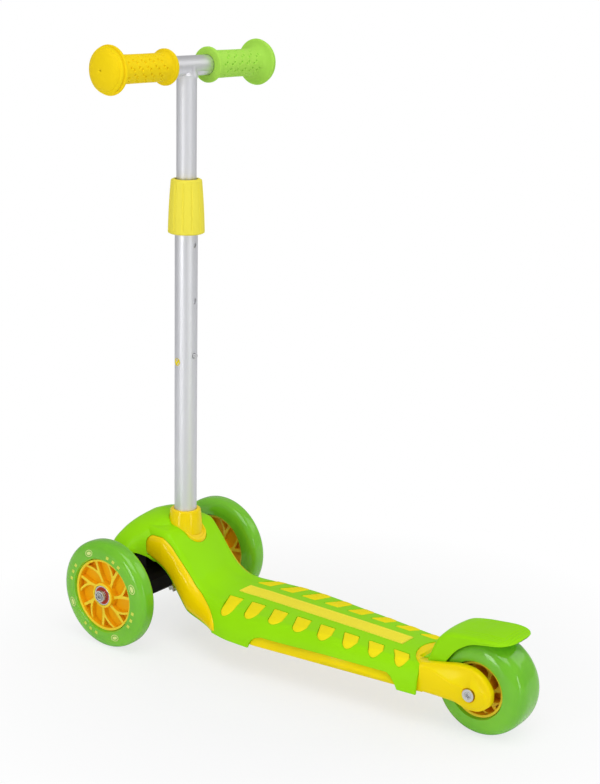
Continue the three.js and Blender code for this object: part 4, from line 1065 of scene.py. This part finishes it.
def tyre_marks(name, centre, side, radius, width, core_radius):
    """Plain ovals and groups of small squares on the outer side of a front tyre."""
    points = []
    faces = []
    kinds = []

    def add_plate(angle, at_radius, outlines, kind):
        """A thin plate: [along the arc, outwards] outlines, each at its lift over the tyre's side."""
        count = len(outlines[0][0])
        plate = walls(count, len(outlines), len(points))
        faces.extend(plate)
        kinds.extend([kind] * len(plate))
        for outline, lift in outlines:
            for u, v in outline:
                r = at_radius + v
                turn = angle + u / at_radius
                x = side * (tyre_side(radius, width, core_radius, r) + lift)
                points.append((centre[0] + x, centre[1] + r * cos(turn), centre[2] + r * sin(turn)))

    def ellipse(a, b):
        return [(a * u, b * v) for u, v in circle(0, 0, 1, 32)]

    spot = 48.0
    sunk = -0.25
    oval, inside, core = ellipse(5.6, 3.8), ellipse(4.7, 3.0), ellipse(3.4, 1.8)
    square = rectangle(-1.8, 1.8, -1.7, 1.7)
    for quarter in range(4):
        angle = radians(23) + quarter * pi / 2
        add_plate(angle, spot, [(oval, sunk), (oval, 0.1), (inside, 0.12), (inside, sunk)], 0)
        add_plate(angle, spot, [(core, sunk), (core, 0.06), (ellipse(0.1, 0.1), 0.1)], 0)
        for k in (-1, 0, 1):
            add_plate(angle + pi / 4 + k * 0.19, spot - 1.8,
                      [(square, sunk), (square, 0.08), ([(u * 0.1, v * 0.1) for u, v in square], 0.08)], 1)
    return mesh_piece(name, points, faces, [mark_cream, mark_yellow], kinds)


def wheel(word, body, centre, radius, tyre_width, core_radius, core_width, hub_width, outward):
    tyre = lathe_x(f"{word}_tyre_round", tyre_profile(radius, tyre_width, core_radius, core_width), 180,
                   centre, [tyre_green])
    install(tyre, body, [f"{word}_tyre"])
    core = wheel_core(f"{word}_core_spokes", centre, core_radius, core_width, hub_width)
    install(core, body, [f"{word}_core"], angle=34)
    place = hub_width / 2 - BEARING_SUNK - BEARING_WIDTH / 2
    for side, hand in ((-1, "right"), (1, "left")):
        seal = bearing(f"{word}_seal_{hand}", (centre[0] + side * place, centre[1], centre[2]), side)
        install(seal, body, [f"{word}_bearing_{hand}"])
    if outward:
        marks = tyre_marks(f"{word}_marks", centre, outward, radius, tyre_width, core_radius)
        install(marks, body)


FRONT_HUB = 23
for hand, sign in HANDS:
    axle = (sign * TRACK / 2, 0, FRONT_RADIUS)
    wheel(f"front_{hand}", f"wheel_{hand}", axle, FRONT_RADIUS, tyre_width=24, core_radius=40,
          core_width=19, hub_width=FRONT_HUB, outward=sign)
wheel("rear", "wheel_rear", REAR_AXLE, REAR_RADIUS, tyre_width=48, core_radius=28.5, core_width=42,
      hub_width=45, outward=0)


# Axle screw heads: domed, with a six-sided socket
def screw_head(name, centre, side, body, reach=6.4):
    profile = [[3.4, 0.3], [3.4, 3.5], [3.8, 4.2], [reach - 1.4, 4.2], [reach - 0.5, 3.6], [reach, 2.4],
               [reach, 0.3]]
    head = lathe_x(name, [[r, side * a] for r, a in profile], 64, centre, [bolt_steel])
    combine(head, "UNION", rod_x("base", 3.6, side * 0.4, side * 1.6, 48, centre))
    x, y, z = centre
    socket = prism_x("socket", circle(y, z, 3.3, 6), x + side * 1.7, x + side * 9)
    ring = combine(rod_x("ring", 3.6, side * 0.5, side * 3.7, 48, centre), "DIFFERENCE", socket)
    combine(head, "UNION", ring)
    install(painted(head, bolt_steel), body, angle=40)


FRONT_FACE = TRACK / 2 + FRONT_HUB / 2 - BEARING_SUNK + FIT
for hand, sign in HANDS:
    screw_head(f"front_{hand}_screw_head", (sign * FRONT_FACE, 0, FRONT_RADIUS), sign, "truck")
screw_head("rear_screw_head", (RECESS_FLOOR + FIT, WHEELBASE, REAR_RADIUS), 1, "frame", reach=4.8)


# Handlebar grips: flared flange, dimpled body, a double rim and a domed end
GRIP_START = 31.0
GRIP_RIM = 111.5
GRIP_END = 126.0
GRIP_RADIUS = 14.6
GRIP_BORE = 10.8
DOME_FOOT = GRIP_RIM + 8.3
DOME_RADIUS = 20.3
DIMPLE_RADIUS = 1.4
DIMPLE_DEPTH = 2.4
FLANGE = [[17.2, 0], [18.1, 0.5], [18.6, 1.7], [18.6, 3.6], [18.1, 4.7], [16.8, 5.3], [15.3, 5.8],
          [14.7, 7.0], [GRIP_RADIUS, 10]]
RIM = [[GRIP_RADIUS, -7], [15.0, -5], [16.6, -2.6], [19.2, -0.9], [22.0, -0.1], [23.6, 0.4], [24.5, 1.3],
       [24.7, 2.4], [24.4, 3.4], [23.4, 4.0], [21.8, 4.2], [21.4, 4.8], [21.9, 5.4], [22.9, 5.7],
       [23.1, 6.6], [22.6, 7.4], [20.8, 7.7], [DOME_RADIUS, 8.3]]


def dimple_depth(dimples, along, turn):
    depth = 0.0
    for place, angle in dimples:
        if abs(along - place) <= DIMPLE_RADIUS:
            across = ((turn - angle + pi) % (2 * pi) - pi) * GRIP_RADIUS
            distance = hypot(along - place, across)
            depth = max(depth, DIMPLE_DEPTH * hump(distance / DIMPLE_RADIUS))
    return depth


def grip(hand, sign, material):
    body_start, body_end = GRIP_START + 10, GRIP_RIM - 7
    body_rows = 150
    profile = [[GRIP_BORE, GRIP_START]] + [[r, GRIP_START + a] for r, a in FLANGE]
    for i in range(1, body_rows):
        share = i / body_rows
        waist = 0.25 * sin(pi * share)
        profile.append([GRIP_RADIUS - waist, mix(body_start, body_end, share)])
    profile += [[r, GRIP_RIM + a] for r, a in RIM]
    for i in range(1, 19):
        angle = pi / 2 * i / 20
        profile.append([DOME_RADIUS * cos(angle),
                        DOME_FOOT + (GRIP_END + 0.6 - DOME_FOOT) * sin(angle)])
    profile += [[1.1, GRIP_END + 0.55], [0.8, GRIP_END + 0.3], [0.8, 119.3], [0.8, 118.9], [0.05, 118.4],
                [GRIP_BORE, 118.3]]
    centre = (0, STEM_Y, BAR_HEIGHT)
    piece = lathe_x(f"grip_{hand}_moulded", [[r, sign * a] for r, a in profile], 168, centre, [material])
    dimples = []
    for row in range(12):
        turn = 2 * pi * row / 12
        for k in range(5):
            along = body_start + 4 + k * 12.0 + (6.0 if row % 2 else 0)
            if along < body_end - 5:
                dimples += [(along, turn), (along + 4.0, turn + 0.16)]
    middle = at(centre)
    for vertex in piece.data.vertices:
        local = (vertex.co - middle) / MM
        radius = hypot(local.y, local.z)
        if abs(radius - GRIP_RADIUS) < 0.9 and body_start < abs(local.x) < body_end:
            share = 1 - dimple_depth(dimples, abs(local.x), atan2(local.z, local.y)) / radius
            vertex.co = middle + Vector((local.x, local.y * share, local.z * share)) * MM
    install(piece, "handlebar", [f"grip_{hand}"], angle=50)


grip("left", 1, grip_yellow)
grip("right", -1, grip_green)


# Height collar: tapered and fluted between plain ends
def height_collar():
    bottom, top = 446.5, 504.0
    bottom_radius, top_radius = 19.6, 16.4
    rounding = 1.8
    flutes = 12
    flute_depth = 0.95
    flute_half = 0.34
    sides = 288
    rows = 60
    rings = []
    for i in range(rows + 1):
        share = i / rows
        radius = mix(bottom_radius, top_radius, share) + 0.5 * sin(pi * share)
        from_end = min(share, 1 - share) * (top - bottom)
        if from_end < rounding:
            radius -= rounding - sqrt(max(0.0, rounding**2 - (rounding - from_end)**2))
        fade = unit((from_end - 2.2) / 3)
        ring = []
        for k in range(sides):
            angle = 2 * pi * k / sides
            groove = flute_depth * fade * hump(sin(angle * flutes / 2) / flute_half)
            ring.append(((radius - groove) * cos(angle), STEM_Y + (radius - groove) * sin(angle),
                         mix(bottom, top, share)))
        rings.append(ring)
    collar = loft("collar_fluted", rings)
    combine(collar, "DIFFERENCE", round_z("low_bore", TUBE_ROOM, 400, 462, STEM_Y),
            round_z("cup", 15, 461.9, 501, STEM_Y), round_z("high_bore", 12.3, 500, 520, STEM_Y))
    install(painted(collar, collar_yellow), "collar", ["height_collar"], angle=40)


height_collar()


# Yellow dot stuck on the lower tube
def tube_dot():
    tube_radius = 12.25
    dot_radius = 4.2
    height = 307.5
    rings = []
    for lift in (0.02, 0.14):
        ring = []
        for u, v in circle(0, 0, dot_radius, 36):
            around = radians(100) + u / tube_radius
            radius = tube_radius + lift
            ring.append((radius * sin(around), STEM_Y + radius * cos(around), height + v))
        rings.append(ring)
    install(loft("tube_dot", rings, [dot_yellow]), "frame")


tube_dot()

# Frame nodes that keep their shape
dress(tube_silver, "lower_tube", "t_bar")
dress(truck_black, "front_truck", "clamp_sleeve")
dress(bolt_steel, "kingpin_bolt", "kingpin_nut", "stem_bolt", "stem_nut", "rear_axle_bolt", "rear_axle_nut",
      "brake_pin", "height_button", "front_left_axle_bolt", "front_right_axle_bolt", "front_left_spacer",
      "front_right_spacer", "rear_spacer")
dress(pad_yellow, "kingpin_bushing")
dress(spring_steel, "truck_spring_left", "truck_spring_right", "brake_spring", "button_spring",
      *[f"cover_screw_{k}" for k in range(1, 5)])


# Floor, backdrop and light
def seen_directly(tree):
    """1 for what the camera sees, also through clear parts, 0 for light on the object."""
    path = add_node(tree, "ShaderNodeLightPath").outputs
    rays = {0: path["Is Camera Ray"], 1: path["Is Transmission Ray"]}
    return add_node(tree, "ShaderNodeMath", rays, operation="MAXIMUM").outputs[0]


def floor_white():
    """White that keeps the soft shadow near the object and fades into the backdrop."""
    made = Material("floor_white", roughness=0.5, specular=0.2)
    tint = made.blend(made.span(made.noise(1.5, 2.0), 0.3, 0.7), srgb(246, 247, 250), srgb(249, 250, 252))
    made.feed("Base Color", tint)
    reach = add_node(made.tree, "ShaderNodeVectorMath", {0: made.coords}, operation="LENGTH")
    fade = made.span(reach.outputs["Value"], 0.16, 0.44, 0.68, 1.0)
    share = made.multiply(fade, seen_directly(made.tree))
    white = add_node(made.tree, "ShaderNodeEmission").outputs[0]
    mixed = add_node(made.tree, "ShaderNodeMixShader", {"Fac": share, 1: made.shader.outputs[0], 2: white})
    made.tree.links.new(mixed.outputs[0], made.tree.nodes["Material Output"].inputs["Surface"])
    return made.material


def floor():
    mesh = bpy.data.meshes.new("floor")
    mesh.from_pydata([(x, y, 0) for x, y in rectangle(-12, 12, -12, 12)], [], [(0, 1, 2, 3)])
    mesh.materials.append(floor_white())
    obj = placed("floor", mesh)


def lamp(name, place, target, size, watts):
    light = bpy.data.lights.new(name, "AREA")
    light.shape = "RECTANGLE"
    light.size, light.size_y = size
    light.energy = watts
    obj = placed(name, light)
    obj.location = place
    obj.rotation_euler = (Vector(target) - Vector(place)).to_track_quat("-Z", "Y").to_euler()


def world():
    """Soft light from all round, and pure white where the camera looks past the floor."""
    made = bpy.data.worlds.new("studio")
    made.use_nodes = True
    tree = made.node_tree
    light = tree.nodes["Background"]
    light.inputs["Color"].default_value = (1, 1, 1, 1)
    light.inputs["Strength"].default_value = 0.42
    seen = add_node(tree, "ShaderNodeBackground", {"Color": (1, 1, 1, 1), "Strength": 1.0})
    blend = add_node(tree, "ShaderNodeMixShader",
                     {"Fac": seen_directly(tree), 1: light.outputs[0], 2: seen.outputs[0]})
    tree.links.new(blend.outputs[0], tree.nodes["World Output"].inputs["Surface"])
    bpy.context.scene.world = made


floor()
world()
LOW_AIM = (0, 0, 0.2)
HIGH_AIM = (0, 0, 0.3)
lamp("key", (0.9, 1.0, 3.0), LOW_AIM, (2.4, 2.4), 46)
lamp("fill", (-1.9, 1.4, 1.8), LOW_AIM, (1.4, 1.4), 7)
lamp("window", (2.2, -0.3, 0.5), HIGH_AIM, (0.5, 0.9), 8)
lamp("side", (0.4, 2.2, 0.5), HIGH_AIM, (0.4, 0.9), 4.5)

# Camera at the photograph's view
AZIMUTH = radians(127.15)
ELEVATION = radians(15.32)
ROLL = radians(1.29)
LENS = 72.57
SENSOR = 36
VIEW_CENTRE = (0, 182.9, 300.6)
VIEW_DISTANCE = 1.6196


def view_camera():
    back = Vector((sin(AZIMUTH) * cos(ELEVATION), -cos(AZIMUTH) * cos(ELEVATION), sin(ELEVATION)))
    level = (-back).cross(Vector((0, 0, 1))).normalized()
    upright = level.cross(-back)
    right = level * cos(ROLL) + upright * sin(ROLL)
    up = upright * cos(ROLL) - level * sin(ROLL)
    camera = placed("camera", bpy.data.cameras.new("camera"))
    camera.data.lens = LENS
    camera.data.sensor_width = SENSOR
    camera.data.clip_end = 50
    place = at(VIEW_CENTRE) + back * VIEW_DISTANCE
    camera.matrix_world = Matrix.Translation(place) @ Matrix((right, up, back)).transposed().to_4x4()
    bpy.context.scene.camera = camera
    bpy.context.scene.view_settings.view_transform = "Standard"


view_camera()
